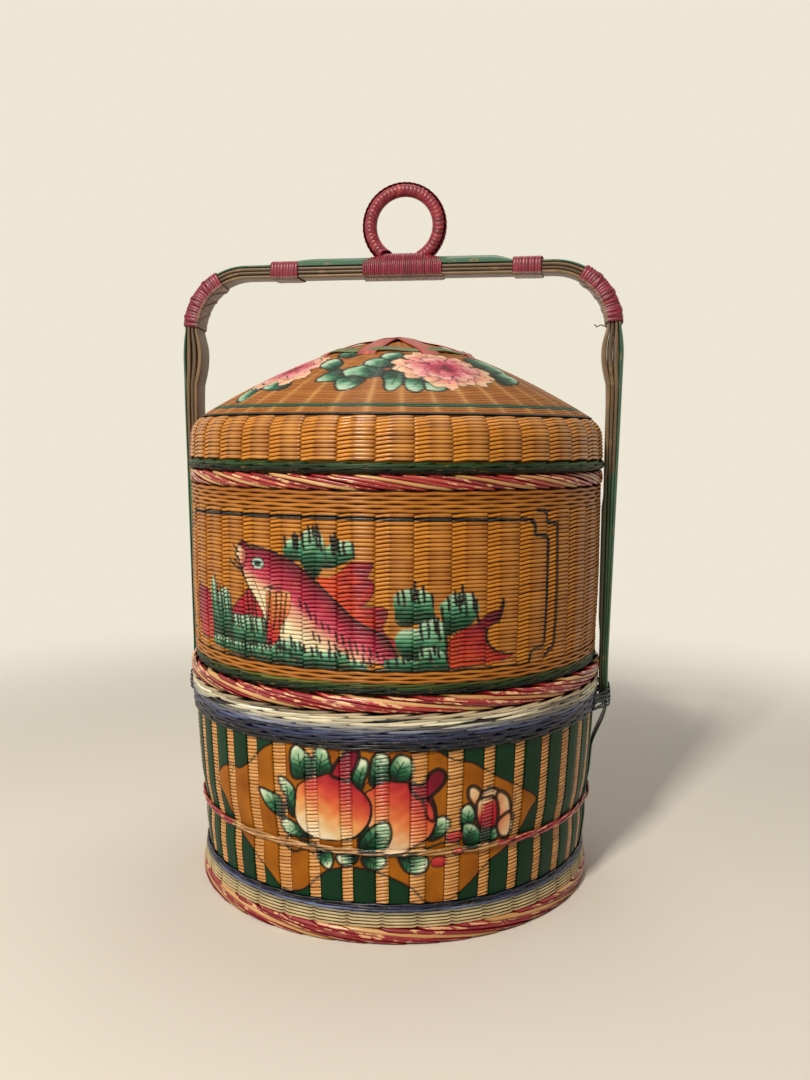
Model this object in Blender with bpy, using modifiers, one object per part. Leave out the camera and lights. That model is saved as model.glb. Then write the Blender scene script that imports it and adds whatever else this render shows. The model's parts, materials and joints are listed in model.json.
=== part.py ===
# Tiered bamboo food basket: two woven tiers and a domed lid, stacked under a tall handle of bent bamboo strips.
# Units are metres. The handle runs along X, the painted side faces -Y, and the basket stands on z = 0.

import math

import bmesh
import bpy
from mathutils import Vector

# Clearances
GAP = 0.0003              # between pieces that touch
RUN_CLEARANCE = 0.0008    # round a collar, so that what sits over it lifts off freely
FLOOR_CLEARANCE = 0.0014  # over a collar, under the floor of the tier above
HANDLE_CLEARANCE = 0.0005
WELD = 0.00001
OVERRUN = 0.0100          # how far a cutter reaches past what it cuts

# Stakes and facets
STAKES = 40
STAKE_PHASE = math.radians(1.8)
ROUND_STEPS = 60
LINING_STEPS = 40         # of the plain pieces inside
CORNER_STEPS = 8          # of a bent strip
CROWN_STEPS = 8           # to each crossing strip
CHAMFER = math.tan(math.pi / 8)

# Lower tier
RIM_RADIUS = 0.1378           # over the slats at the top, the radius that the whole stack follows
FOOT_TAPER = 0.0088           # how much narrower the wall is at the foot
TAPER_POWER = 1.6
LOWER_WALL_HEIGHT = 0.1267
LOWER_WALL_THICKNESS = 0.0040
SLAT_PROUD = 0.0009
FOOT_BORDER_HEIGHT = 0.0130
FOOT_BORDER_THICKNESS = 0.0068
FOOT_BORDER_PROUD = 0.0045
FOOT_BAND_HEIGHT = 0.0107
BAND_THICKNESS = 0.0010
BAND_FLARE = 0.0007           # how much a band of rows thickens to its wider edge
TOP_BAND_HEIGHT = 0.0220
LOWER_BORDER_HEIGHT = 0.0103
LOWER_BORDER_PROUD = 0.0026
HOOP_HEIGHT = 0.0563
HOOP_CANE = 0.0023
WAIST_DEPTH = 0.0014          # how far the tight hoop draws the slats in
WAIST_REACH = 0.0180
FLOOR_THICKNESS = 0.0030
LOWER_FLOOR_HEIGHT = 0.0200
COLLAR_THICKNESS = 0.0024
COLLAR_DEPTH = 0.0220         # of a collar inside the wall that carries it
COLLAR_RISE = 0.0100          # of a collar above its border

# Upper tier
UPPER_WALL_HEIGHT = 0.1153
UPPER_FOOT_INSET = 0.0006
UPPER_BULGE = 0.0011
FLUTE_DEPTH = 0.0007
UPPER_BAND_HEIGHT = 0.0085
UPPER_BAND_THICKNESS = 0.0011
UPPER_BAND_TUCK = 0.0010
UPPER_BORDER_HEIGHT = 0.0095
UPPER_BORDER_PROUD = 0.0006

# Lid
LID_OVERHANG = 0.0020
LID_EDGE_HEIGHT = 0.0067
LID_EDGE_PROUD = 0.0007
LID_WALL_THICKNESS = 0.0030
LID_BAND_HEIGHT = 0.0132      # of the upright part, below the rounded shoulder
LID_LEAN = 0.0007             # how far the band leans in over that height
SHOULDER_RADIUS = 0.0145
SHOULDER_TURN = math.radians(58)
DOME_RISE = 0.0530
DOME_POWER = 1.55
DOME_THICKNESS = 0.0026
CROWN_REACH = 0.0360
CROWN_STRIP_WIDTH = 0.0130
CROWN_STRIPS = 4
CROWN_THICKNESS = 0.0012

# Handle
STRIPS = 4
STRIP_WIDTH = 0.0180
STRIP_THICKNESS = 0.0022
STRIP_FOOT_THICKNESS = 0.0012
BAR_TOP = 0.4138
CORNER_RADIUS = 0.0450
CORNER_TUCK = 0.0012          # how far the bundle draws in at its corners
UPRIGHT_SWELL = 0.0019        # how far it bows out below them
FAN_DROP = 0.0360             # height of the loose fan below a corner
FAN_BULGE = 0.0026            # how far the fan bows towards the lid
TAIL_BEND = 0.0240            # height over which the green strip turns in below its tie
TIE_THICKNESS = 0.0016
TIE_HEIGHT = 0.0115
TIE_DROP = 0.0100             # of its top below the band's
TIE_REACH = 0.0130            # past the strips, on each side

# Bindings and grip ring
CANE = 0.0024
TURN_GAP = 0.0007
CORNER_BINDING_START = math.radians(23)
CORNER_BINDING_END = math.radians(86)
BAR_BINDING_TURNS = 6
LEFT_BINDING_SHARE = -0.73    # of the straight half of the bar, from its middle
RIGHT_BINDING_SHARE = 0.84
RING_PLACE = 0.0045
RING_RADIUS = 0.0234
RING_CANE = 0.0106
RING_RISE = 0.0243            # of its centre above the bar
SADDLE_HEIGHT = 0.0044
SADDLE_EDGE = 0.0008
SADDLE_TOP_WIDTH = 0.0220
SADDLE_TURNS = 17

# Shares of a stake's pitch: of each outer point, of the inner point behind it, and 1 where the outer point is proud
SLAT_SHARES = ((-0.315, 0, 1), (0.315, 0, 1), (0.345, 0.5, 0), (0.655, 0.5, 0))
FLUTE_SHARES = ((-0.3, 0, 1), (0.3, 0, 1), (0.5, 0.5, 0))
BORDER_SHARES = ((0.5, 1), (1, 0), (0.5, -1), (-0.5, -1), (-1, 0), (-0.5, 1))
UPRIGHT_SHARES = (0, 0.04, 0.08, 0.12, 0.165, 0.24, 0.4, 0.65, 0.87)
DOME_SHARES = (0, 0.12, 0.28, 0.46, 0.64, 0.82, 1)
LINING_SHARES = (1, 0.5, 0)
HOOP_LIFT_SHARES = (1, 1, 0.5)
BEND_SHARES = (0.25, 0.5, 0.75, 1)
SAMPLE_SHARES = (0, 0.25, 0.5, 0.75)
MIDDLE_SHARE = 0.7
CROWN_INNER_SHARE = 0.8

# Levels that follow from the heights. Those of the upper tier and of the lid are above their own feet.
STAKE_PITCH = 2 * math.pi / STAKES
INNER_STEPS = 2 * STAKES
LOWER_WALL_FOOT = FOOT_BORDER_HEIGHT + GAP
LOWER_WALL_TOP = LOWER_WALL_FOOT + LOWER_WALL_HEIGHT
LOWER_BORDER_TOP = LOWER_WALL_TOP + GAP + LOWER_BORDER_HEIGHT
UPPER_LEVEL = LOWER_BORDER_TOP + GAP
UPPER_FLOOR_HEIGHT = COLLAR_RISE - GAP + FLOOR_CLEARANCE
UPPER_BORDER_TOP = UPPER_WALL_HEIGHT + GAP + UPPER_BORDER_HEIGHT
LID_LEVEL = UPPER_LEVEL + UPPER_BORDER_TOP + GAP
LID_BAND_FOOT = LID_EDGE_HEIGHT + GAP
LID_SHOULDER = LID_BAND_FOOT + LID_BAND_HEIGHT
BAR_THICKNESS = STRIPS * STRIP_THICKNESS + (STRIPS - 1) * GAP
CORNER_LEVEL = BAR_TOP - CORNER_RADIUS
FAN_FOOT = CORNER_LEVEL - FAN_DROP
SWELL_LEVEL = CORNER_LEVEL - FAN_DROP / 2
TIE_TOP = LOWER_WALL_TOP - TIE_DROP
TIE_FOOT = TIE_TOP - TIE_HEIGHT
FOOT_BAND_TOP = LOWER_WALL_FOOT + FOOT_BAND_HEIGHT
WALL_LEVELS = (
    LOWER_WALL_FOOT,
    HOOP_HEIGHT - WAIST_REACH,
    HOOP_HEIGHT,
    HOOP_HEIGHT + WAIST_REACH,
    LOWER_WALL_FOOT + MIDDLE_SHARE * LOWER_WALL_HEIGHT,
    LOWER_WALL_TOP,
)


def mixed(start, end, share):
    return start + (end - start) * share


def limited(share):
    return min(max(share, 0), 1)


def smooth(share):
    share = limited(share)
    return share * share * (3 - 2 * share)


# The corner radius of a many-sided bore whose flats clear a round piece of this radius.
def around(radius, steps=ROUND_STEPS, clearance=GAP):
    return (radius + clearance) / math.cos(math.pi / steps)


# The radius that fits inside the flats of a many-sided bore of this corner radius.
def within(radius, steps=INNER_STEPS):
    return radius * math.cos(math.pi / steps) - GAP


# The curve over the slats of the lower wall, drawn in towards the foot and at the hoop.
def slat_curve(level):
    share = limited((level - LOWER_WALL_FOOT) / LOWER_WALL_HEIGHT)
    taper = FOOT_TAPER * (1 - share) ** TAPER_POWER
    waist = WAIST_DEPTH * smooth(1 - abs(level - HOOP_HEIGHT) / WAIST_REACH)
    return RIM_RADIUS - taper - waist


# The same face as the wall has it, straight between its levels.
def slat_radius(level):
    for low, high in zip(WALL_LEVELS, WALL_LEVELS[1:]):
        if level <= high:
            break
    return mixed(slat_curve(low), slat_curve(high), (level - low) / (high - low))


# Radii that follow from the rim
LOWER_INNER_RADIUS = slat_radius(LOWER_WALL_TOP - COLLAR_DEPTH) - LOWER_WALL_THICKNESS
LOWER_COLLAR_RADIUS = within(LOWER_INNER_RADIUS)
UPPER_RADIUS = RIM_RADIUS + UPPER_BULGE
UPPER_FOOT_RADIUS = RIM_RADIUS - UPPER_FOOT_INSET
UPPER_INNER_RADIUS = around(LOWER_COLLAR_RADIUS, INNER_STEPS, RUN_CLEARANCE)
UPPER_COLLAR_RADIUS = within(UPPER_INNER_RADIUS)
LID_RADIUS = RIM_RADIUS + LID_OVERHANG
LID_EDGE_RADIUS = LID_RADIUS + LID_EDGE_PROUD
LID_INNER_RADIUS = LID_RADIUS - LID_WALL_THICKNESS
LOWER_BORDER_RADIUS = RIM_RADIUS + LOWER_BORDER_PROUD
TOP_BAND_RADIUS = around(RIM_RADIUS) + BAND_THICKNESS + BAND_FLARE
FOOT_BORDER_RADIUS = slat_radius(LOWER_WALL_FOOT) + FOOT_BORDER_PROUD
BORDER_SIDE = LOWER_BORDER_RADIUS + HANDLE_CLEARANCE
LID_SIDE = LID_EDGE_RADIUS + HANDLE_CLEARANCE
CORNER_SIDE = LID_SIDE - CORNER_TUCK
CORNER_SPAN = CORNER_SIDE + BAR_THICKNESS
FOOT_SPAN = BORDER_SIDE + STRIPS * STRIP_FOOT_THICKNESS + (STRIPS - 1) * GAP
CORNER_CENTRE = CORNER_SPAN - CORNER_RADIUS


def material(name, colour, roughness):
    made = bpy.data.materials.new(name)
    made.use_nodes = True
    made.diffuse_color = (*colour, 1)
    surface = made.node_tree.nodes["Principled BSDF"]
    surface.inputs["Base Color"].default_value = (*colour, 1)
    surface.inputs["Roughness"].default_value = roughness
    surface.inputs["Metallic"].default_value = 0
    return made


def new_collection(name):
    made = bpy.data.collections.new(name)
    bpy.context.scene.collection.children.link(made)
    return made


def place(name, data, collection, parent=None, skin=None):
    made = bpy.data.objects.new(name, data)
    made.parent = parent
    collection.objects.link(made)
    if skin:
        data.materials.append(skin)
    return made


# A mesh of one profile of (radius, height) points, its outer side first and from top to bottom, turned round Z.
def turned(name, profile, closed=True):
    mesh = bpy.data.meshes.new(name)
    edges = [(point, point + 1) for point in range(len(profile) - 1)]
    if closed:
        edges.append((len(profile) - 1, 0))
    mesh.from_pydata([(radius, 0, height) for radius, height in profile], edges, [])
    return mesh


def turn(piece, steps=ROUND_STEPS):
    screw = piece.modifiers.new("turn", "SCREW")
    screw.steps = screw.render_steps = steps
    screw.use_merge_vertices = True
    screw.merge_threshold = WELD
    screw.use_smooth_shade = False


# A ring of straight sides: its outer radius at the top and at the foot, one inner radius, and its two levels.
def ring_profile(top_radius, foot_radius, inner_radius, foot, top):
    return ((top_radius, top), (foot_radius, foot), (inner_radius, foot), (inner_radius, top))


# The rounded section of a twisted border, flat where it rests and where the next piece rests on it.
def border_profile(outer, inner, foot, top):
    half_width = (outer - inner) / 2
    half_height = (top - foot) / 2
    return [
        (inner + half_width * (1 + across), foot + half_height * (1 + up))
        for across, up in BORDER_SHARES
    ]


def disc_profile(radius, foot, top):
    return ((0, top), (radius, top), (radius, foot), (0, foot))


# A turned wall that is proud over each stake. relief_at gives how deep the gaps between stakes are at a level.
def staked_wall(name, outer, inner, shares, relief_at):
    mesh = bpy.data.meshes.new(name)
    bm = bmesh.new()
    steps = STAKES * len(shares)
    inside = bm.verts.layers.int.new("inside")
    profile = []
    for index, (radius, level) in enumerate((*outer, *inner)):
        vert = bm.verts.new((radius, 0, level))
        vert[inside] = index >= len(outer)
        profile.append(vert)
    edges = [bm.edges.new((profile[index - 1], profile[index])) for index in range(len(profile))]
    bmesh.ops.spin(
        bm,
        geom=profile + edges,
        cent=(0, 0, 0),
        axis=(0, 0, 1),
        angle=2 * math.pi,
        steps=steps,
        use_merge=True,
    )
    for vert in bm.verts:
        step = round(math.atan2(vert.co.y, vert.co.x) / (2 * math.pi) * steps) % steps
        stake, part = divmod(step, len(shares))
        outer_share, inner_share, proud = shares[part]
        radius = math.hypot(vert.co.x, vert.co.y)
        if not vert[inside] and not proud:
            radius -= relief_at(vert.co.z)
        share = inner_share if vert[inside] else outer_share
        angle = (stake + share) * STAKE_PITCH + STAKE_PHASE
        vert.co.x = radius * math.cos(angle)
        vert.co.y = radius * math.sin(angle)
    bmesh.ops.remove_doubles(bm, verts=bm.verts, dist=WELD)
    bmesh.ops.recalc_face_normals(bm, faces=bm.faces)
    bm.to_mesh(mesh)
    bm.free()
    return mesh


# A flat outline in the curve's own XY plane, filled and thickened along its Z.
def flat_outline(name, points, thickness):
    curve = bpy.data.curves.new(name, "CURVE")
    curve.dimensions = "2D"
    curve.fill_mode = "BOTH"
    curve.extrude = thickness / 2
    spline = curve.splines.new("POLY")
    spline.points.add(len(points) - 1)
    for point, (across, up) in zip(spline.points, points):
        point.co = (across, up, 0, 1)
    spline.use_cyclic_u = True
    return curve


def cane(name, points, diameter, cyclic=False):
    curve = bpy.data.curves.new(name, "CURVE")
    curve.dimensions = "3D"
    curve.bevel_depth = diameter / 2
    curve.bevel_resolution = 0 if cyclic else 1
    curve.use_fill_caps = not cyclic
    spline = curve.splines.new("POLY")
    spline.points.add(len(points) - 1)
    for point, place_of_it in zip(spline.points, points):
        point.co = (*place_of_it, 1)
    spline.use_cyclic_u = cyclic
    return curve


# Stands a curve drawn in XY up in the XZ plane.
def stand(piece):
    piece.rotation_euler.x = math.pi / 2


def lower_tier(parts, skins):
    wall = staked_wall(
        "lower_wall",
        [(slat_curve(level), level) for level in reversed(WALL_LEVELS)],
        [
            (slat_curve(LOWER_WALL_FOOT) - LOWER_WALL_THICKNESS, LOWER_WALL_FOOT),
            (LOWER_INNER_RADIUS, LOWER_WALL_TOP - COLLAR_DEPTH),
            (LOWER_INNER_RADIUS, LOWER_WALL_TOP),
        ],
        SLAT_SHARES,
        lambda level: SLAT_PROUD,
    )
    place("lower_wall", wall, parts, skin=skins["slats"])

    foot = FOOT_BORDER_RADIUS
    foot_border = border_profile(foot, foot - FOOT_BORDER_THICKNESS, 0, FOOT_BORDER_HEIGHT)
    turn(place("foot_border", turned("foot_border", foot_border), parts, skin=skins["border"]))

    inner = around(slat_radius(FOOT_BAND_TOP))
    band = ring_profile(
        inner + BAND_THICKNESS, inner + BAND_THICKNESS + BAND_FLARE, inner, LOWER_WALL_FOOT, FOOT_BAND_TOP
    )
    turn(place("lower_foot_band", turned("lower_foot_band", band), parts, skin=skins["blue"]))

    inner = around(RIM_RADIUS)
    band_foot = LOWER_WALL_TOP - TOP_BAND_HEIGHT
    band = ring_profile(TOP_BAND_RADIUS, inner + BAND_THICKNESS, inner, band_foot, LOWER_WALL_TOP)
    turn(place("lower_top_band", turned("lower_top_band", band), parts, skin=skins["blue"]))

    border = border_profile(
        LOWER_BORDER_RADIUS, around(LOWER_COLLAR_RADIUS), LOWER_WALL_TOP + GAP, LOWER_BORDER_TOP
    )
    turn(place("lower_top_border", turned("lower_top_border", border), parts, skin=skins["border"]))

    collar = ring_profile(
        LOWER_COLLAR_RADIUS,
        LOWER_COLLAR_RADIUS,
        LOWER_COLLAR_RADIUS - COLLAR_THICKNESS,
        LOWER_WALL_TOP - COLLAR_DEPTH,
        LOWER_BORDER_TOP + COLLAR_RISE,
    )
    turn(place("lower_collar", turned("lower_collar", collar), parts, skin=skins["natural"]), LINING_STEPS)

    inner_at_floor = slat_curve(LOWER_WALL_FOOT) - LOWER_WALL_THICKNESS
    floor = disc_profile(within(inner_at_floor), LOWER_FLOOR_HEIGHT, LOWER_FLOOR_HEIGHT + FLOOR_THICKNESS)
    turn(place("lower_floor", turned("lower_floor", floor, closed=False), parts, skin=skins["natural"]), LINING_STEPS)


# The two strands of the hoop, lifted over the tails of the handle at both ends of X.
def middle_hoop(parts, skins):
    level = HOOP_HEIGHT + HOOP_CANE + GAP
    face = slat_radius(level)
    tail_face = math.hypot(face + GAP + STRIP_FOOT_THICKNESS, STRIP_WIDTH / 2)
    for name, side in (("hoop_upper_strand", 1), ("hoop_lower_strand", -1)):
        points = []
        for step in range(ROUND_STEPS):
            angle = 2 * math.pi * step / ROUND_STEPS
            from_tail = min(step % (ROUND_STEPS // 2), -step % (ROUND_STEPS // 2))
            lift = HOOP_LIFT_SHARES[from_tail] if from_tail < len(HOOP_LIFT_SHARES) else 0
            radius = around(mixed(face, tail_face, lift)) + HOOP_CANE / 2
            height = HOOP_HEIGHT + side * (HOOP_CANE + GAP) / 2
            points.append((radius * math.cos(angle), radius * math.sin(angle), height))
        place(name, cane(name, points, HOOP_CANE, cyclic=True), parts, skin=skins["hoop"])


def upper_tier(parts, skins, body):
    wall = staked_wall(
        "upper_wall",
        [
            (UPPER_RADIUS, UPPER_WALL_HEIGHT),
            (UPPER_RADIUS, UPPER_WALL_HEIGHT / 2),
            (UPPER_FOOT_RADIUS, UPPER_BAND_HEIGHT + GAP),
            (UPPER_FOOT_RADIUS - UPPER_BAND_TUCK, UPPER_BAND_HEIGHT),
            (UPPER_FOOT_RADIUS - UPPER_BAND_TUCK, 0),
        ],
        [(UPPER_INNER_RADIUS, 0), (UPPER_INNER_RADIUS, UPPER_WALL_HEIGHT)],
        FLUTE_SHARES,
        lambda level: FLUTE_DEPTH if level > UPPER_BAND_HEIGHT + GAP / 2 else 0,
    )
    place("upper_wall", wall, parts, body, skins["ochre"])

    inner = around(UPPER_FOOT_RADIUS - UPPER_BAND_TUCK)
    outer = inner + UPPER_BAND_THICKNESS
    band = ring_profile(outer, outer, inner, 0, UPPER_BAND_HEIGHT - GAP)
    turn(place("upper_foot_band", turned("upper_foot_band", band), parts, body, skins["green"]))

    border = border_profile(
        UPPER_RADIUS + UPPER_BORDER_PROUD, around(UPPER_COLLAR_RADIUS), UPPER_WALL_HEIGHT + GAP, UPPER_BORDER_TOP
    )
    turn(place("upper_top_border", turned("upper_top_border", border), parts, body, skins["border"]))

    collar = ring_profile(
        UPPER_COLLAR_RADIUS,
        UPPER_COLLAR_RADIUS,
        UPPER_COLLAR_RADIUS - COLLAR_THICKNESS,
        UPPER_WALL_HEIGHT - COLLAR_DEPTH,
        UPPER_BORDER_TOP + COLLAR_RISE,
    )
    turn(place("upper_collar", turned("upper_collar", collar), parts, body, skins["natural"]), LINING_STEPS)

    floor = disc_profile(
        within(UPPER_INNER_RADIUS), UPPER_FLOOR_HEIGHT, UPPER_FLOOR_HEIGHT + FLOOR_THICKNESS
    )
    turn(place("upper_floor", turned("upper_floor", floor, closed=False), parts, body, skins["natural"]), LINING_STEPS)


# The point on the rounded shoulder of the lid at this turn from the upright, and this far below its surface.
def shoulder_point(turned_by, depth):
    middle = LID_RADIUS - LID_LEAN - SHOULDER_RADIUS
    reach = SHOULDER_RADIUS - depth
    return (middle + reach * math.cos(turned_by), LID_SHOULDER + reach * math.sin(turned_by))


# The height of the dome over its shoulder, at this share of the shoulder's radius.
def dome_height(share):
    return DOME_RISE * (1 - share ** DOME_POWER)


def lid(parts, skins, body):
    edge = border_profile(LID_EDGE_RADIUS, LID_INNER_RADIUS, 0, LID_EDGE_HEIGHT)
    turn(place("lid_bottom_edge", turned("lid_bottom_edge", edge), parts, body, skins["green"]))

    outer_turns = (SHOULDER_TURN, SHOULDER_TURN / 2, 0)
    relief_top = LID_SHOULDER + SHOULDER_RADIUS * math.sin(SHOULDER_TURN)
    band = staked_wall(
        "lid_band",
        [shoulder_point(part, 0) for part in outer_turns] + [(LID_RADIUS, LID_BAND_FOOT)],
        [(LID_INNER_RADIUS, LID_BAND_FOOT)]
        + [shoulder_point(part, LID_WALL_THICKNESS) for part in (0, SHOULDER_TURN)],
        FLUTE_SHARES,
        lambda level: FLUTE_DEPTH * limited((relief_top - level) / SHOULDER_RADIUS),
    )
    place("lid_band", band, parts, body, skins["ochre"])

    radius, foot = shoulder_point(SHOULDER_TURN, 0)
    radius = within(radius)
    foot += GAP
    outer = [(radius * share, foot + dome_height(share)) for share in DOME_SHARES]
    inner_radius, inner_foot = shoulder_point(SHOULDER_TURN, DOME_THICKNESS)
    inner_radius = within(inner_radius)
    inner_foot += GAP
    inner = [(inner_radius * share, inner_foot + dome_height(share)) for share in LINING_SHARES]
    dome = turned("lid_dome", outer + inner, closed=False)
    turn(place("lid_dome", dome, parts, body, skins["ochre"]))

    plait = place("lid_crown", crown(radius, foot), parts, body, skins["cane"])
    solidify = plait.modifiers.new("strips", "SOLIDIFY")
    solidify.thickness = CROWN_THICKNESS
    solidify.offset = 1

    ring = ring_profile(
        within(LID_INNER_RADIUS - LID_LEAN),
        within(LID_INNER_RADIUS - LID_LEAN),
        around(UPPER_COLLAR_RADIUS, LINING_STEPS, RUN_CLEARANCE),
        LID_EDGE_HEIGHT / 2,
        LID_SHOULDER,
    )
    turn(place("lid_inner_ring", turned("lid_inner_ring", ring), parts, body, skins["natural"]), LINING_STEPS)


# The sheet of crossing strips over the top of the dome: its outline is that of the strips laid over each other.
def crown(dome_radius, dome_foot):
    steps = CROWN_STEPS * CROWN_STRIPS
    half_width = CROWN_STRIP_WIDTH / 2
    bm = bmesh.new()
    top = bm.verts.new((0, 0, dome_foot + dome_height(0) + GAP))
    rows = []
    for step in range(steps):
        angle = 2 * math.pi * step / steps
        off_strip = min(abs(angle - arm * math.pi / CROWN_STRIPS) for arm in range(2 * CROWN_STRIPS + 1))
        reach = min(CROWN_REACH / math.cos(off_strip), half_width / max(math.sin(off_strip), WELD))
        row = []
        for radius in (min(DOME_SHARES[1] * dome_radius, CROWN_INNER_SHARE * reach), reach):
            height = dome_foot + dome_height(radius / dome_radius) + GAP
            row.append(bm.verts.new((radius * math.cos(angle), radius * math.sin(angle), height)))
        rows.append(row)
    for row, following in zip(rows, rows[1:] + rows[:1]):
        bm.faces.new((top, row[0], following[0]))
        for inner, outer, next_outer, next_inner in zip(row, row[1:], following[1:], following):
            bm.faces.new((inner, outer, next_outer, next_inner))
    mesh = bpy.data.meshes.new("lid_crown")
    bm.to_mesh(mesh)
    bm.free()
    return mesh


def strip_thickness(level):
    share = limited((level - LOWER_BORDER_TOP) / (CORNER_LEVEL - LOWER_BORDER_TOP))
    return mixed(STRIP_FOOT_THICKNESS, STRIP_THICKNESS, share)


# How far from the middle the outer face of the whole bundle stands, on an upright.
def bundle_outside(level):
    swell = CORNER_SPAN + UPRIGHT_SWELL
    if level > SWELL_LEVEL:
        return mixed(swell, CORNER_SPAN, ((level - SWELL_LEVEL) / (CORNER_LEVEL - SWELL_LEVEL)) ** 2)
    return mixed(FOOT_SPAN, swell, limited((level - LOWER_BORDER_TOP) / (SWELL_LEVEL - LOWER_BORDER_TOP)))


def bundle_inside(level):
    if level > FAN_FOOT:
        share = (level - FAN_FOOT) / FAN_DROP
        return mixed(LID_SIDE, CORNER_SIDE, share) - FAN_BULGE * math.sin(math.pi * share)
    return mixed(BORDER_SIDE, LID_SIDE, limited((level - LOWER_BORDER_TOP) / (LID_LEVEL - LOWER_BORDER_TOP)))


# The outer and inner face of one strip on an upright, counted from the outside in.
def strip_faces(number, level):
    thickness = strip_thickness(level)
    outside = bundle_outside(level)
    spread = (outside - bundle_inside(level) - STRIPS * thickness) / (STRIPS - 1)
    face = outside - number * (thickness + spread)
    return face, face - thickness


# Below its tie the outermost strip turns in and runs down over the slats.
def tail_faces(level):
    tied = strip_faces(0, TIE_FOOT)[1]
    turned_in = smooth((TIE_FOOT - level) / TAIL_BEND)
    inner = mixed(tied, slat_radius(level) + GAP, turned_in)
    return inner + STRIP_FOOT_THICKNESS, inner


def handle_strip(number):
    depth = number * (STRIP_THICKNESS + GAP)
    outer, inner = [], []
    for step in range(CORNER_STEPS + 1):
        angle = step / CORNER_STEPS * math.pi / 2
        for face, sunk in ((outer, depth), (inner, depth + STRIP_THICKNESS)):
            reach = CORNER_RADIUS - sunk
            face.append((CORNER_CENTRE + reach * math.sin(angle), CORNER_LEVEL + reach * math.cos(angle)))
    levels = [mixed(CORNER_LEVEL, TIE_FOOT, share) for share in UPRIGHT_SHARES[1:]] + [LOWER_BORDER_TOP, TIE_FOOT]
    for level in levels:
        faces = strip_faces(number, level)
        outer.append((faces[0], level))
        inner.append((faces[1], level))
    if number == 0:
        bend = [TIE_FOOT - TAIL_BEND * share for share in BEND_SHARES]
        down = [level for level in reversed(WALL_LEVELS) if FOOT_BAND_TOP < level < bend[-1]]
        for level in bend + down + [FOOT_BAND_TOP + GAP]:
            faces = tail_faces(level)
            outer.append((faces[0], level))
            inner.append((faces[1], level))
    half = outer[::-1], inner
    mirrored = [[(-across, up) for across, up in reversed(side)] for side in half]
    return half[0] + mirrored[0] + mirrored[1] + half[1]


def tie_outline(side):
    level = TIE_TOP
    reach = STRIP_WIDTH / 2 + TIE_REACH
    face = FOOT_SPAN + GAP
    band_share = (level - (LOWER_WALL_TOP - TOP_BAND_HEIGHT)) / TOP_BAND_HEIGHT
    band = TOP_BAND_RADIUS - BAND_FLARE * (1 - band_share) + GAP
    across = STRIP_WIDTH / 2 + GAP
    on_band = math.sqrt(band ** 2 - reach ** 2)
    lap = TIE_THICKNESS / 2
    return [
        (side * on_band, -reach),
        (side * face, -across),
        (side * face, across),
        (side * on_band, reach),
        (side * (on_band + TIE_THICKNESS), reach + lap),
        (side * (face + TIE_THICKNESS), across + lap),
        (side * (face + TIE_THICKNESS), -across - lap),
        (side * (on_band + TIE_THICKNESS), -reach - lap),
    ]


def handle(parts, skins):
    names = ("handle_outer_strip", "handle_second_strip", "handle_third_strip", "handle_inner_strip")
    for number, name in enumerate(names):
        skin = skins["natural"] if number else skins["culm"]
        stand(place(name, flat_outline(name, handle_strip(number), STRIP_WIDTH), parts, skin=skin))
    for name, side in (("handle_tie_right", 1), ("handle_tie_left", -1)):
        tie = place(name, flat_outline(name, tie_outline(side), TIE_HEIGHT), parts, skin=skins["blue"])
        tie.location.z = TIE_TOP - TIE_HEIGHT / 2


# One loop of cane round a bundle, as (across, out) points. above and below are the bundle's faces from its middle.
def loop_points(above, below):
    off = CANE / 2 + GAP
    chamfer = off * CHAMFER
    side = STRIP_WIDTH / 2
    return (
        (side + off, below - chamfer),
        (side + off, above + chamfer),
        (side + chamfer, above + off),
        (-side - chamfer, above + off),
        (-side - off, above + chamfer),
        (-side - off, below - chamfer),
        (-side - chamfer, below - off),
        (side + chamfer, below - off),
    )


# The least gap between the turns of a winding, measured on points along its segments.
def least_gap(points, per_turn):
    samples = []
    for start, end in zip(points, points[1:]):
        samples += [Vector(start).lerp(Vector(end), share) for share in SAMPLE_SHARES]
    apart = len(SAMPLE_SHARES) * (per_turn - 2)
    gaps = [
        (one - other).length
        for index, one in enumerate(samples)
        for other in samples[index + apart : index + 2 * len(SAMPLE_SHARES) * per_turn]
    ]
    return min(gaps) - CANE


# A winding: frame_at gives, at a share of its length, the middle of the bundle, the way out and its faces.
def winding(name, turns, frame_at, parts, skins):
    points = []
    per_turn = len(loop_points(0, 0))
    count = turns * per_turn
    for index in range(count + 1):
        middle, out, above, below = frame_at(index / count)
        across, away = loop_points(above, below)[index % per_turn]
        points.append(middle + out * away + Vector((0, across, 0)))
    print(f"{name}: {turns} turns, least gap to itself {least_gap(points, per_turn) * 1000:.2f} mm")
    place(name, cane(name, points, CANE), parts, skin=skins["cane"])


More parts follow.
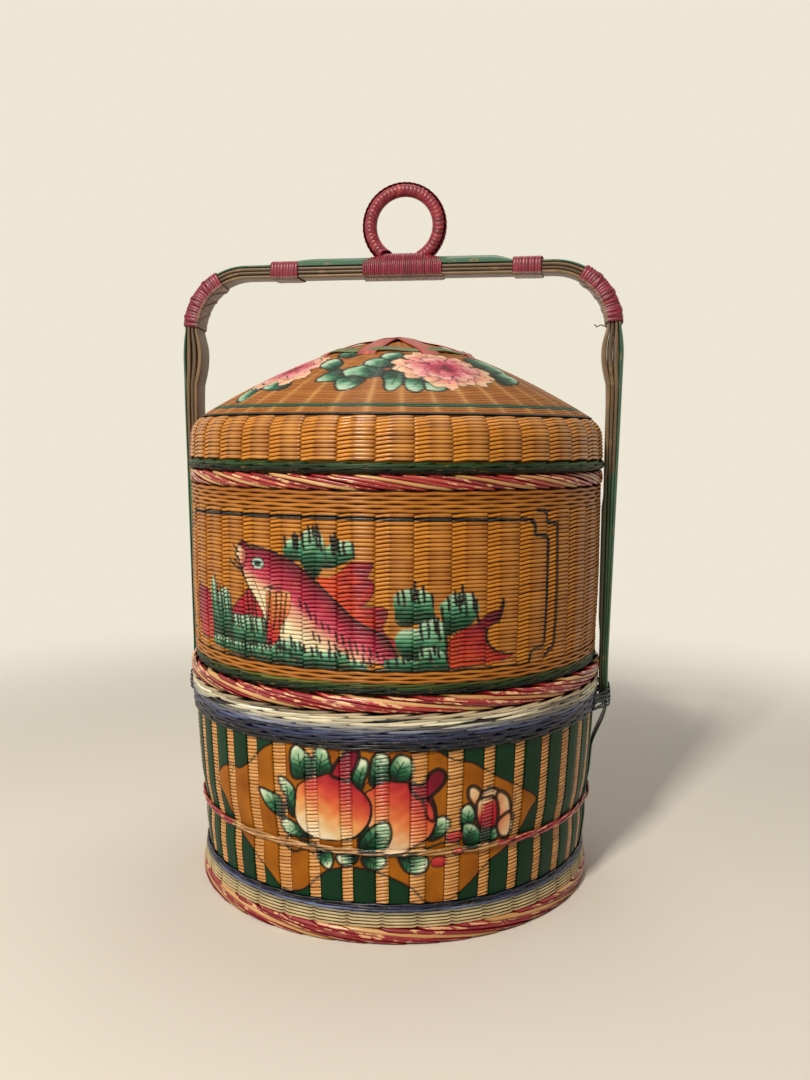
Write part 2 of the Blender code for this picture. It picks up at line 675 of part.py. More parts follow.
def bindings(parts, skins):
    half = BAR_THICKNESS / 2
    pitch = CANE + TURN_GAP
    bar_middle = BAR_TOP - half

    bend = CORNER_BINDING_END - CORNER_BINDING_START
    inner_radius = CORNER_RADIUS - BAR_THICKNESS - GAP - CANE / 2
    corner_turns = int(bend * inner_radius / pitch)
    for name, side in (("corner_binding_right", 1), ("corner_binding_left", -1)):

        def corner_frame(share, side=side):
            angle = CORNER_BINDING_START + bend * share
            out = Vector((side * math.sin(angle), 0, math.cos(angle)))
            centre = Vector((side * CORNER_CENTRE, 0, CORNER_LEVEL))
            return centre + out * (CORNER_RADIUS - half), out, half, -half

        winding(name, corner_turns, corner_frame, parts, skins)

    for name, place_share in (("bar_binding_left", LEFT_BINDING_SHARE), ("bar_binding_right", RIGHT_BINDING_SHARE)):

        def bar_frame(share, place_share=place_share):
            along = place_share * CORNER_CENTRE + (share - 0.5) * BAR_BINDING_TURNS * pitch
            return Vector((along, 0, bar_middle)), Vector((0, 0, 1)), half, -half

        winding(name, BAR_BINDING_TURNS, bar_frame, parts, skins)

    def saddle_frame(share):
        from_middle = (share - 0.5) * SADDLE_TURNS * pitch
        above = half + GAP + saddle_height(from_middle)
        return Vector((RING_PLACE + from_middle, 0, bar_middle)), Vector((0, 0, 1)), above, -half

    winding("ring_binding", SADDLE_TURNS, saddle_frame, parts, skins)


# The height of the saddle over the bar, this far from its middle: level on top, sloping down to both ends.
def saddle_height(from_middle):
    half_width = SADDLE_TURNS * (CANE + TURN_GAP) / 2
    half_top = SADDLE_TOP_WIDTH / 2
    share = limited((half_width - abs(from_middle)) / (half_width - half_top))
    return mixed(SADDLE_EDGE, SADDLE_HEIGHT, share)


def saddle_outline(foot, lift, margin):
    half_width = SADDLE_TURNS * (CANE + TURN_GAP) / 2 + margin
    half_top = SADDLE_TOP_WIDTH / 2 + margin / 2
    edge = SADDLE_EDGE + lift
    top = SADDLE_HEIGHT + lift
    return [
        (-half_width, foot),
        (half_width, foot),
        (half_width, edge),
        (half_top, top),
        (-half_top, top),
        (-half_width, edge),
    ]


# The grip ring: its lower side is bound down into the saddle, so it is cut to stand on the saddle's turns.
def grip_ring(parts, cutters, skins):
    level = BAR_TOP + GAP
    saddle = flat_outline("ring_saddle", saddle_outline(0, 0, 0), STRIP_WIDTH)
    saddle = place("ring_saddle", saddle, parts, skin=skins["natural"])
    stand(saddle)
    saddle.location = (RING_PLACE, 0, level)

    over_turns = CANE + 2 * GAP
    cutter = flat_outline("saddle_room", saddle_outline(-OVERRUN, over_turns, over_turns), STRIP_WIDTH + OVERRUN)
    cutter = place("saddle_room_outline", cutter, cutters)
    stand(cutter)
    cutter.location = (RING_PLACE, 0, level)
    cutter = as_mesh(cutter, "saddle_room", cutters)
    cutter.hide_render = True
    cutter.display_type = "WIRE"

    bpy.ops.mesh.primitive_torus_add(
        major_segments=36,
        minor_segments=8,
        major_radius=RING_RADIUS,
        minor_radius=RING_CANE / 2,
        location=(RING_PLACE, 0, BAR_TOP + RING_RISE),
        rotation=(math.pi / 2, 0, 0),
    )
    ring = bpy.context.object
    ring.name = "grip_ring"
    for collection in ring.users_collection:
        collection.objects.unlink(ring)
    parts.objects.link(ring)
    ring.data.materials.append(skins["cane"])
    cut = ring.modifiers.new("stand on the saddle", "BOOLEAN")
    cut.operation = "DIFFERENCE"
    cut.object = cutter


# A curve as a mesh object in the same place, with its loose caps welded on.
def as_mesh(piece, name, collection):
    bpy.context.view_layer.update()
    seen = piece.evaluated_get(bpy.context.evaluated_depsgraph_get())
    mesh = bpy.data.meshes.new_from_object(seen)
    bm = bmesh.new()
    bm.from_mesh(mesh)
    bmesh.ops.remove_doubles(bm, verts=bm.verts, dist=WELD)
    bmesh.ops.recalc_face_normals(bm, faces=bm.faces)
    bm.to_mesh(mesh)
    bm.free()
    made = place(name, mesh, collection)
    made.matrix_world = piece.matrix_world.copy()
    bpy.data.objects.remove(piece)
    return made


def main():
    for thing in list(bpy.data.objects):
        bpy.data.objects.remove(thing)
    parts = new_collection("tiered_food_basket")
    cutters = new_collection("cutters")
    skins = {
        "ochre": material("ochre weave", (0.52, 0.22, 0.04), 0.4),
        "slats": material("green slats", (0.01, 0.07, 0.03), 0.4),
        "green": material("green rows", (0.02, 0.09, 0.05), 0.45),
        "blue": material("blue and cream rows", (0.25, 0.28, 0.38), 0.5),
        "border": material("red and natural border", (0.42, 0.05, 0.06), 0.45),
        "natural": material("natural bamboo", (0.36, 0.22, 0.12), 0.55),
        "culm": material("green culm skin", (0.05, 0.13, 0.08), 0.4),
        "cane": material("dark red cane", (0.22, 0.02, 0.03), 0.35),
        "hoop": material("red hoop cane", (0.32, 0.03, 0.03), 0.4),
    }
    lower_tier(parts, skins)
    middle_hoop(parts, skins)
    handle(parts, skins)
    bindings(parts, skins)
    grip_ring(parts, cutters, skins)

    upper_body = place("upper_tier", None, parts)
    upper_body.location.z = UPPER_LEVEL
    upper_tier(parts, skins, upper_body)
    lid_body = place("lid", None, parts, upper_body)
    lid_body.location.z = LID_LEVEL - UPPER_LEVEL
    lid(parts, skins, lid_body)


main()
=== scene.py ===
# Tiered bamboo food basket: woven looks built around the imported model.
# Angles run round the basket from its painted front (-Y) towards +X. Paintings are laid out in millimetres.
import json
import math

import bpy
import numpy as np
from mathutils import Matrix, Vector

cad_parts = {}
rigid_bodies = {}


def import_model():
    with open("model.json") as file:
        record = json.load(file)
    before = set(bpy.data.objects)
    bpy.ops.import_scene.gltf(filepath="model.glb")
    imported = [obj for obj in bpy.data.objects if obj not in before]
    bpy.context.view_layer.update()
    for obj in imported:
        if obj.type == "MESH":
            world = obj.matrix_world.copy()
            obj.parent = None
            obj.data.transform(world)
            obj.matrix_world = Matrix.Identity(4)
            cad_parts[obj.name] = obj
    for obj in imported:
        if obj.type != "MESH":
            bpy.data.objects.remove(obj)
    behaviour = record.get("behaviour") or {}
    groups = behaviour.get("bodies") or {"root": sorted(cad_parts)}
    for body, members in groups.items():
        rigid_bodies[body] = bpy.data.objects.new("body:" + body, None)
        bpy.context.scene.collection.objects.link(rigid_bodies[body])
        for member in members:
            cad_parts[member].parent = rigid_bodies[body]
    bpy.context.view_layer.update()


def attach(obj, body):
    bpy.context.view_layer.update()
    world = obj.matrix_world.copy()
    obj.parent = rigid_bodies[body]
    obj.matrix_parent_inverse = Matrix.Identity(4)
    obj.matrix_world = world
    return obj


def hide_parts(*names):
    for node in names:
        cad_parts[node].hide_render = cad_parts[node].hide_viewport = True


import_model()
mm = 0.001
stakeCount = 40
stakePitch = 2 * math.pi / stakeCount
stakePhase = math.radians(1.8)
chance = np.random.default_rng(11)
print("frame loaded")


# small sums
def mixed(a, b, share):
    return a + (b - a) * share


def soft(value, low, high):
    share = np.clip((value - low) / (high - low), 0, 1)
    return share * share * (3 - 2 * share)


def tone(code):
    parts = np.array([int(code[i:i + 2], 16) / 255 for i in (0, 2, 4)])
    return np.where(parts <= 0.04045, parts / 12.92, ((parts + 0.055) / 1.055) ** 2.4)


def ripple(x, y, size):
    # a smooth uneven value between -1 and 1, the same each run
    return (np.sin(x / size + 1.7 * np.sin(y / size * 0.7))
        + np.sin(y / size * 1.3 + 2.1 * np.sin(x / size * 0.6 + 1))) / 2


def onRing(radius, angle, height):
    return np.stack(np.broadcast_arrays(radius * np.sin(angle), -radius * np.cos(angle), height), -1)


def evenly(count):
    # so many angles, once round
    return np.arange(count) * 2 * math.pi / count


def metres(*points):
    # (radius, height) pairs in millimetres, turned to metres
    return [(radius * mm, height * mm) for radius, height in points]


# meshes swept along rows of centre lines
def caneSection(width, thick, side=0.3):
    shape = np.array([(-0.42, -0.5), (-0.5, 0.02), (-0.25, 0.5), (0.25, 0.5), (0.5, 0.02), (0.42, -0.5)])
    return shape * (width, thick), np.array([0.1, side, 1, 1, side, 0.1])


def flatSection(width, thick, points=8, crown=0.3):
    # a strip: a crowned face of so many points over two back corners
    across = np.linspace(-0.5, 0.5, points)
    face = np.stack([across, 0.5 - crown * (2 * across) ** 2 * np.where(abs(across) > 0.49, 1.6, 1)], 1)
    shape = np.concatenate([face, [(0.48, -0.5), (-0.48, -0.5)]])
    shade = np.concatenate([1 - 0.45 * soft(abs(across), 0.36, 0.5), [0.3, 0.3]])
    return shape * (width, thick), shade


def roundSection(width, thick, points=8):
    turn = evenly(points)
    return np.stack([np.sin(turn) * width / 2, np.cos(turn) * thick / 2], 1), 0.55 + 0.45 * np.cos(turn)


def facedOut(verts, faces):
    # the faces turned over where they enclose a negative volume
    a, b, c, d = (verts[faces[:, i]] for i in range(4))
    volume = (np.einsum("ij,ij->i", a, np.cross(b, c)) + np.einsum("ij,ij->i", a, np.cross(c, d))).sum()
    return faces[:, ::-1] if volume < 0 else faces


def sweep(centre, out, section, scale=None, shade=None, closed=False, dye=None):
    # centre and out are [strands, rings, 3]; section is (across, out) points with how lit each one is
    points, pointShade = section
    strands, rings, _ = centre.shape
    if closed:
        along = np.roll(centre, -1, 1) - np.roll(centre, 1, 1)
    else:
        along = np.gradient(centre, axis=1)
    along /= np.linalg.norm(along, axis=-1, keepdims=True)
    across = np.cross(along, out)
    across /= np.linalg.norm(across, axis=-1, keepdims=True)
    outward = np.cross(across, along)
    if scale is None:
        scale = np.ones((strands, rings))
    if shade is None:
        shade = np.ones((strands, rings))
    tint = chance.random(strands)
    wide, tall = (scale[..., 0], scale[..., 1]) if scale.ndim == 3 else (scale, scale)
    verts = (centre[:, :, None] + across[:, :, None] * (wide[..., None] * points[:, 0])[..., None]
             + outward[:, :, None] * (tall[..., None] * points[:, 1])[..., None])
    count = len(points)
    step = np.linalg.norm(np.diff(centre, axis=1), axis=-1)
    walked = np.concatenate([np.zeros((strands, 1)), np.cumsum(step, 1)], 1)
    grain = np.empty((strands, rings, count, 4))
    grain[..., 0] = walked[:, :, None]
    grain[..., 1] = points[:, 0]
    grain[..., 2] = tint[:, None, None]
    # the fourth channel is painted shade: how lit each section point is, times the shade along the strand
    grain[..., 3] = pointShade * shade[:, :, None]
    number = np.arange(strands * rings * count).reshape(strands, rings, count)
    here = number if closed else number[:, :-1]
    there = np.roll(number, -1, 1) if closed else number[:, 1:]
    faces = [np.stack([here, np.roll(here, -1, 2), np.roll(there, -1, 2), there], -1).reshape(-1, 4)]
    if not closed:
        for cap, order in ((number[:, 0], 1), (number[:, -1], -1)):
            for i in range(count // 2 - 1):
                faces.append(cap[:, [i, count - 1 - i, count - 2 - i, i + 1][::order]])
    verts = verts.reshape(-1, 3)
    faces = facedOut(verts, np.concatenate(faces))
    paint = np.zeros((strands, rings, count, 4))
    if dye is not None:
        paint[...] = dye[:, None, None]
    return {"verts": verts, "faces": faces, "grain": grain.reshape(-1, 4), "paint": paint.reshape(-1, 4)}


def dyes(choices, strands, cover=1.0, uneven=0.12):
    # one of these tones for each strand, each a little lighter or darker than the next
    picked = np.array([tone(c) for c in choices])[np.arange(strands) % len(choices)]
    picked = picked * (1 + uneven * chance.normal(0, 1, (strands, 1)))
    return np.concatenate([np.clip(picked, 0, 1), np.full((strands, 1), cover)], 1)


def turned(profile, shade, steps=160):
    # a closed profile of (radius, height) turned round the middle
    turn = evenly(steps)
    points = np.array(profile)
    verts = onRing(points[None, :, 0], turn[:, None],
        np.broadcast_to(points[None, :, 1], (steps, len(points))))
    number = np.arange(steps * len(points)).reshape(steps, len(points))
    there = np.roll(number, -1, 0)
    faces = np.stack([number, np.roll(number, -1, 1), np.roll(there, -1, 1), there], -1).reshape(-1, 4)
    verts = verts.reshape(-1, 3)
    faces = facedOut(verts, faces)
    grain = np.zeros((len(verts), 4))
    grain[:, 0] = np.repeat(turn, len(points)) * points[:, 0].max()
    grain[:, 1] = np.tile(points[:, 1], steps)
    grain[:, 2] = 0.5
    grain[:, 3] = shade
    return {"verts": verts, "faces": faces, "grain": grain, "paint": np.zeros((len(verts), 4))}


def makePiece(name, bundles, skin, body, stoodFor=(), painter=None, sharp=None):
    verts = np.concatenate([b["verts"] for b in bundles])
    grain = np.concatenate([b["grain"] for b in bundles])
    offsets = np.cumsum([0] + [len(b["verts"]) for b in bundles[:-1]])
    faces = np.concatenate([b["faces"] + start for b, start in zip(bundles, offsets)])
    mesh = bpy.data.meshes.new(name)
    mesh.vertices.add(len(verts))
    mesh.vertices.foreach_set("co", verts.astype(np.float32).ravel())
    mesh.loops.add(faces.size)
    mesh.loops.foreach_set("vertex_index", faces.astype(np.int32).ravel())
    mesh.polygons.add(len(faces))
    mesh.polygons.foreach_set("loop_start", np.arange(0, faces.size, 4, dtype=np.int32))
    mesh.polygons.foreach_set("use_smooth", np.ones(len(faces), bool))
    mesh.update(calc_edges=True)
    if sharp:
        mesh.set_sharp_from_angle(angle=math.radians(sharp))
    paint = np.concatenate([b["paint"] for b in bundles])
    if painter:
        paint = painter(verts, grain, paint)
    for layer, values in (("grain", grain), ("paint", paint)):
        colours = mesh.attributes.new(layer, "FLOAT_COLOR", "POINT")
        colours.data.foreach_set("color", values.astype(np.float32).ravel())
    mesh.materials.append(skin)
    piece = bpy.data.objects.new(name, mesh)
    bpy.context.scene.collection.objects.link(piece)
    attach(piece, body)
    if stoodFor:
        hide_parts(*stoodFor)
    print(name, len(faces) * 2, "triangles")


# finishes
def addNode(tree, kind, inputs=None, **settings):
    node = tree.nodes.new(kind)
    for key, value in settings.items():
        setattr(node, key, value)
    for key, value in (inputs or {}).items():
        if isinstance(value, bpy.types.NodeSocket):
            tree.links.new(value, node.inputs[key])
        else:
            node.inputs[key].default_value = value
    return node


def mathNode(tree, operation, *values):
    return addNode(tree, "ShaderNodeMath", dict(enumerate(values)), operation=operation).outputs[0]


def rangeNode(tree, *values):
    # a socket, its low and high, and what these two become
    return addNode(tree, "ShaderNodeMapRange", dict(enumerate(values))).outputs[0]


def mixColour(tree, share, first, second, blend="MIX"):
    inputs = {0: share, 6: first, 7: second}
    return addNode(tree, "ShaderNodeMix", inputs, data_type="RGBA", blend_type=blend).outputs[2]


def noiseNode(tree, vector, scale, detail, rough=0.5):
    inputs = {"Vector": vector, "Scale": scale, "Detail": detail, "Roughness": rough}
    return addNode(tree, "ShaderNodeTexNoise", inputs).outputs[0]


def bumpNode(tree, height, strength):
    inputs = {"Height": height, "Strength": strength, "Distance": 0.0003}
    return addNode(tree, "ShaderNodeBump", inputs).outputs[0]


def stretched(tree, parts, factors):
    # coordinates made of these sockets, each times a factor of its own
    scaled = [mathNode(tree, "MULTIPLY", part, factor) for part, factor in zip(parts, factors)]
    return addNode(tree, "ShaderNodeCombineXYZ", dict(enumerate(scaled))).outputs[0]


def blankTree(block):
    block.use_nodes = True
    block.node_tree.nodes.clear()
    return block.node_tree


def linear(code):
    return (*tone(code), 1)


def caneSkin(name, dark, light, streak=(30, 1400), wear=0.3, bareWear="d9a878", chip=260, chipAt=0.6,
        rough=0.42, coat=0.35, bump=0.25, gleam=0.45):
    # split cane: streaks along each strand, its own tint, paint over it, and chips where the paint has worn
    skin = bpy.data.materials.new(name)
    tree = blankTree(skin)
    grain = addNode(tree, "ShaderNodeAttribute", attribute_name="grain")
    paint = addNode(tree, "ShaderNodeAttribute", attribute_name="paint")
    parts = addNode(tree, "ShaderNodeSeparateColor", {0: grain.outputs["Color"]}).outputs
    tint = parts[2]
    shade = grain.outputs["Alpha"]
    where = addNode(tree, "ShaderNodeTexCoord").outputs["Object"]
    fibres = noiseNode(tree, stretched(tree, parts, (*streak, 57.0)), 1.0, 4.0, 0.65)
    blotch = noiseNode(tree, where, 90.0, 3.0)
    chips = noiseNode(tree, stretched(tree, parts, (chip * 1.2, chip * 4.5, 31.0)), 1.0, 4.0, 0.62)
    streaks = rangeNode(tree, fibres, 0.3, 0.7, 0.0, 0.6)
    share = mathNode(tree, "ADD", streaks, rangeNode(tree, tint, 0, 1, -0.12, 0.45))
    bare = mixColour(tree, share, linear(dark), linear(light))
    bare = mixColour(tree, rangeNode(tree, blotch, 0.35, 0.75, 0.0, 0.45), bare, linear(dark))
    washed = rangeNode(tree, fibres, 0.3, 0.7, 0.0, 0.22)
    painted = mixColour(tree, washed, paint.outputs["Color"], (0.9, 0.85, 0.75, 1), "SOFT_LIGHT")
    dulled = rangeNode(tree, blotch, 0.4, 0.7, 0.0, 0.25)
    painted = mixColour(tree, dulled, painted, (0.35, 0.3, 0.28, 1), "MULTIPLY")
    chipped = rangeNode(tree, chips, chipAt, chipAt + 0.04, 0.0, 1.0)
    bald = mathNode(tree, "MULTIPLY", chipped, rangeNode(tree, shade, 0.75, 0.95, 0.0, 1.0))
    bald = mathNode(tree, "MULTIPLY", bald, wear)
    painted = mixColour(tree, bald, painted, linear(bareWear))
    colour = mixColour(tree, paint.outputs["Alpha"], bare, painted)
    # painted shade: the colour is darkened where the shade channel is low, down the sides of strands, in
    # crevices and where strands dive
    paintedShade = rangeNode(tree, shade, 0.1, 0.85, 0.05, 1.0)
    openness = rangeNode(tree, shade, 0.55, 0.95, 0.0, 1.0)
    shadedColour = addNode(tree, "ShaderNodeVectorMath", {0: colour, "Scale": paintedShade}, operation="SCALE")
    bumped = bumpNode(tree, fibres, bump)
    shader = addNode(tree, "ShaderNodeBsdfPrincipled", {
        "Base Color": shadedColour.outputs[0], "Normal": bumped,
        "Roughness": rangeNode(tree, fibres, 0.3, 0.7, rough - 0.1, rough + 0.14),
        "Coat Weight": mathNode(tree, "MULTIPLY", openness, coat), "Coat Roughness": 0.2,
        "Specular IOR Level": mathNode(tree, "MULTIPLY", openness, gleam)})
    addNode(tree, "ShaderNodeOutputMaterial", {0: shader.outputs[0]})
    return skin


def plainBamboo(name, dark, light, stretch):
    # for the carried-over rings and floors: grain laid by position
    skin = bpy.data.materials.new(name)
    tree = blankTree(skin)
    where = addNode(tree, "ShaderNodeTexCoord").outputs["Object"]
    laid = addNode(tree, "ShaderNodeMapping", {0: where, 3: stretch}).outputs[0]
    fibres = noiseNode(tree, laid, 1.0, 5.0, 0.65)
    blotch = noiseNode(tree, where, 35.0, 3.0)
    colour = mixColour(tree, rangeNode(tree, fibres, 0.3, 0.7, 0.0, 1.0), linear(dark), linear(light))
    colour = mixColour(tree, rangeNode(tree, blotch, 0.4, 0.75, 0.0, 0.5), colour, linear(dark))
    bumped = bumpNode(tree, fibres, 0.3)
    shader = addNode(tree, "ShaderNodeBsdfPrincipled", {
            "Base Color": colour, "Normal": bumped,
            "Roughness": rangeNode(tree, fibres, 0.3, 0.7, 0.4, 0.62)})
    addNode(tree, "ShaderNodeOutputMaterial", {0: shader.outputs[0]})
    return skin


# camera, light and floor
cameraPlace = {"distance": 0.6921, "height": 0.2960, "pitch": 5.82, "yaw": -0.49, "roll": -0.33,
    "basketTurn": 9.5, "lens": 33.333}
studio = {"worldLight": 0.16, "wallTone": "eee6d5", "floorTone": "e6dfd2", "floorReach": (0.32, 1.0)}
lampAim = (0, 0, 0.22)
lamps = {
    "key": {"place": (-0.34, -1.3, 1.35), "size": 0.2, "power": 26, "colour": (1, 0.95, 0.87)},
    "fill": {"place": (-1.3, -1.0, 0.7), "size": 1.2, "power": 5, "colour": (1, 0.97, 0.94)},
    "top": {"place": (0.1, 0.5, 1.7), "size": 0.9, "power": 8, "colour": (1, 0.97, 0.92)}}


def makeCamera(c):
    data = bpy.data.cameras.new("camera")
    data.sensor_width = 36
    data.lens = c["lens"]
    data.clip_start = 0.01
    view = bpy.data.objects.new("camera", data)
    bpy.context.scene.collection.objects.link(view)
    turn = math.radians(c["basketTurn"])
    yaw, pitch, roll = (math.radians(c[k]) for k in ("yaw", "pitch", "roll"))
    view.location = (c["distance"] * math.sin(turn), -c["distance"] * math.cos(turn), c["height"])
    view.rotation_mode = "XYZ"
    spin = Matrix.Rotation(turn + yaw, 3, "Z") @ Matrix.Rotation(math.pi / 2 - pitch, 3, "X")
    spin = spin @ Matrix.Rotation(-roll, 3, "Z")
    view.rotation_euler = spin.to_euler()
    bpy.context.scene.camera = view


def makeLamp(name, place, size, power, colour):
    data = bpy.data.lights.new(name, "AREA")
    data.size = size
    data.energy = power
    data.color = colour
    lamp = bpy.data.objects.new(name, data)
    lamp.location = place
    lamp.rotation_euler = (Vector(lampAim) - Vector(place)).to_track_quat("-Z", "Y").to_euler()
    bpy.context.scene.collection.objects.link(lamp)


def makeWorld(s):
    # the backdrop as seen is bright, and the light that it sheds on the basket is dim
    world = bpy.data.worlds.new("studio")
    bpy.context.scene.world = world
    tree = blankTree(world)
    rays = addNode(tree, "ShaderNodeLightPath")
    seen = mathNode(tree, "MAXIMUM", rays.outputs["Is Camera Ray"], rays.outputs["Is Transmission Ray"])
    seen = mathNode(tree, "MAXIMUM", seen, rays.outputs["Is Glossy Ray"])
    plain = addNode(tree, "ShaderNodeBackground", {0: (1, 0.97, 0.93, 1), 1: s["worldLight"]})
    wall = addNode(tree, "ShaderNodeBackground", {0: linear(s["wallTone"]), 1: 1.0})
    both = addNode(tree, "ShaderNodeMixShader", {0: seen, 1: plain.outputs[0], 2: wall.outputs[0]})
    addNode(tree, "ShaderNodeOutputWorld", {0: both.outputs[0]})


def makeFloor(s):
    mesh = bpy.data.meshes.new("floor")
    mesh.from_pydata([(-3, -3, 0), (3, -3, 0), (3, 3, 0), (-3, 3, 0)], [], [(0, 1, 2, 3)])
    skin = bpy.data.materials.new("pale floor")
    tree = blankTree(skin)
    # the floor thins out into the backdrop away from the basket
    where = addNode(tree, "ShaderNodeTexCoord").outputs["Object"]
    far = addNode(tree, "ShaderNodeVectorMath", {0: where}, operation="LENGTH").outputs["Value"]
    fade = addNode(tree, "ShaderNodeMapRange", {0: far, 1: s["floorReach"][0], 2: s["floorReach"][1]},
        interpolation_type="SMOOTHERSTEP").outputs[0]
    solid = addNode(tree, "ShaderNodeBsdfDiffuse", {0: linear(s["floorTone"])})
    clear = addNode(tree, "ShaderNodeBsdfTransparent")
    both = addNode(tree, "ShaderNodeMixShader", {0: fade, 1: solid.outputs[0], 2: clear.outputs[0]})
    addNode(tree, "ShaderNodeOutputMaterial", {0: both.outputs[0]})
    mesh.materials.append(skin)
    floor = bpy.data.objects.new("floor", mesh)
    bpy.context.scene.collection.objects.link(floor)


makeCamera(cameraPlace)
makeWorld(studio)
for lampName, lamp in lamps.items():
    makeLamp(lampName, **lamp)
makeFloor(studio)
bpy.context.scene.view_settings.view_transform = "Standard"
print("camera, light and floor made")


# painting, in millimetres on the unrolled faces
ink = tone("0a0806")


def newCanvas(x, y, paint, grain):
    # crest is 1 on the raised face of a strand and 0 down its sides
    return {"x": x, "y": y, "rgb": paint[:, :3].copy(), "cover": paint[:, 3].copy(),
        "crest": soft(grain[:, 3], 0.2, 0.55)}


def brush(canvas, near, cover, colour):
    kept = canvas["cover"][near] * (1 - cover)
    new = cover + kept
    laid = colour * cover[:, None] + canvas["rgb"][near] * kept[:, None]
    canvas["rgb"][near] = laid / np.maximum(new, 1e-6)[:, None]
    canvas["cover"][near] = new


def rounded(points, steps=5, closed=True):
    # a smooth line through these points
    p = np.array(points, float)
    if closed:
        before, after, beyond = np.roll(p, 1, 0), np.roll(p, -1, 0), np.roll(p, -2, 0)
    else:
        before, after = np.concatenate([p[:1], p[:-2]]), p[1:]
        beyond = np.concatenate([p[2:], p[-1:]])
        p = p[:-1]
    t = (np.arange(steps) / steps)[None, :, None]
    b, c, d, e = before[:, None], p[:, None], after[:, None], beyond[:, None]
    curve = 0.5 * (2 * c + (d - b) * t + (2 * b - 5 * c + 4 * d - e) * t ** 2
        + (3 * c - b - 3 * d + e) * t ** 3)
    curve = curve.reshape(-1, 2)
    return curve if closed else np.concatenate([curve, after[-1:]])


def measure(canvas, outline, margin=2.0, closed=True):
    # the points near an outline, and how deep each is inside it, in millimetres
    low, high = outline.min(0) - margin, outline.max(0) + margin
    x, y = canvas["x"], canvas["y"]
    near = np.nonzero((x > low[0]) & (x < high[0]) & (y > low[1]) & (y < high[1]))[0]
    x, y = x[near], y[near]
    best = np.full(len(near), 1e9)
    inside = np.zeros(len(near), bool)
    ends = np.roll(outline, -1, 0) if closed else outline[1:]
    for a, b in zip(outline, ends):
        reach = b - a
        t = np.clip(((x - a[0]) * reach[0] + (y - a[1]) * reach[1]) / max(reach @ reach, 1e-9), 0, 1)
        best = np.minimum(best, (x - a[0] - t * reach[0]) ** 2 + (y - a[1] - t * reach[1]) ** 2)
        crosses = (a[1] > y) != (b[1] > y)
        inside ^= crosses & (x < reach[0] * (y - a[1]) / (reach[1] + 1e-12) + a[0])
    depth = np.sqrt(best)
    return near, x, y, np.where(inside, depth, -depth) if closed else depth


def fillShape(canvas, points, colour, line=0.65, steps=5, fade=0.35):
    near, x, y, depth = measure(canvas, rounded(points, steps))
    if not len(near):
        return
    brush(canvas, near, soft(depth, -fade, fade), colour(x, y, depth))
    if line:
        brush(canvas, near, 0.93 * soft(line - abs(depth + 0.1), 0, 0.45), ink)


def drawLine(canvas, points, width, colour=None, steps=5, broken=0, dotted=False):
    path = rounded(points, steps, closed=False) if steps else np.array(points, float)
    near, x, y, off = measure(canvas, path, closed=False)
    cover = soft(width / 2 - off, -0.15, 0.35) * (1 - broken * (ripple(x, y, 2.3) > 0.45))
    if dotted:
        cover = cover * canvas["crest"][near]
    brush(canvas, near, cover, ink if colour is None else colour)


def between(stops, share):
    # the colour at a share of the way through these tones
    tones = np.array([tone(stop) for stop in stops])
    share = np.clip(share, 0, 1) * (len(tones) - 1)
    low = np.minimum(share.astype(int), len(tones) - 2)
    return mixed(tones[low], tones[low + 1], (share - low)[:, None])


def shaded(start, end, *stops, rough=0.08):
    start, reach = np.array(start, float), np.array(end, float) - np.array(start, float)

    def colour(x, y, depth):
        along = (x - start[0]) * reach[0] + (y - start[1]) * reach[1]
        return between(stops, along / (reach @ reach) + rough * ripple(x, y, 1.9))
    return colour


def strokes(canvas, starts, fall, lean=0.0, width=1.95, colour=None):
    # short brush strokes, one from each start
    for i, (x, y) in enumerate(starts):
        drop = fall * (1 + 0.25 * math.sin(i * 2.3 + x))
        middle = (x + lean * drop * 0.4 + 0.5 * math.sin(i * 1.7), y - drop * 0.5)
        drawLine(canvas, [(x, y), middle, (x + lean * drop, y - drop)], width, colour, dotted=True)


def leaf(canvas, points, root, tip, tones=("08261a", "123f28", "2f6e4a", "93bd92", "dfe6c4"), veins=3):
    root, tip = np.array(root, float), np.array(tip, float)
    axis = tip - root
    side = np.array([-axis[1], axis[0]])
    fillShape(canvas, points, shaded(root, tip, *tones, rough=0.1), line=1.15)
    drawLine(canvas, [root, root + axis * 0.4 + side * 0.04, root + axis * 0.78], 0.9)
    for i in range(veins):
        start = root + axis * (0.1 + 0.2 * i)
        for hand in (1, -1):
            drawLine(canvas, [start, start + axis * 0.2 + side * 0.26 * hand], 0.8, steps=0)


weedTones = ("051c10", "0b321e", "1a5236", "4a8e66", "96c8a2", "c6debc")


def weed(canvas, points, marks=True):
    # waterweed: dark at its foot, pale at its top, with rows of black dabs
    p = np.array(points, float)
    low, high = p.min(0), p.max(0)
    fillShape(canvas, points, shaded((0, low[1]), (0, high[1]), *weedTones, rough=0.06), line=0)
    if marks:
        wide = high[0] - low[0]
        count = max(int(wide / 3.3), 2)
        xs = low[0] + wide * (np.arange(count) + 0.5) / count
        xs = xs + 0.7 * np.sin(2.1 * np.arange(count) + low[0])
        tops = [p[np.argsort(abs(p[:, 0] - x))[:3], 1].max() for x in xs]
        tops = np.array(tops) + 0.3 + 1.5 * np.sin(3.7 * xs)
        strokes(canvas, list(zip(xs, tops)), 0.42 * (high[1] - low[1]), 0.12)


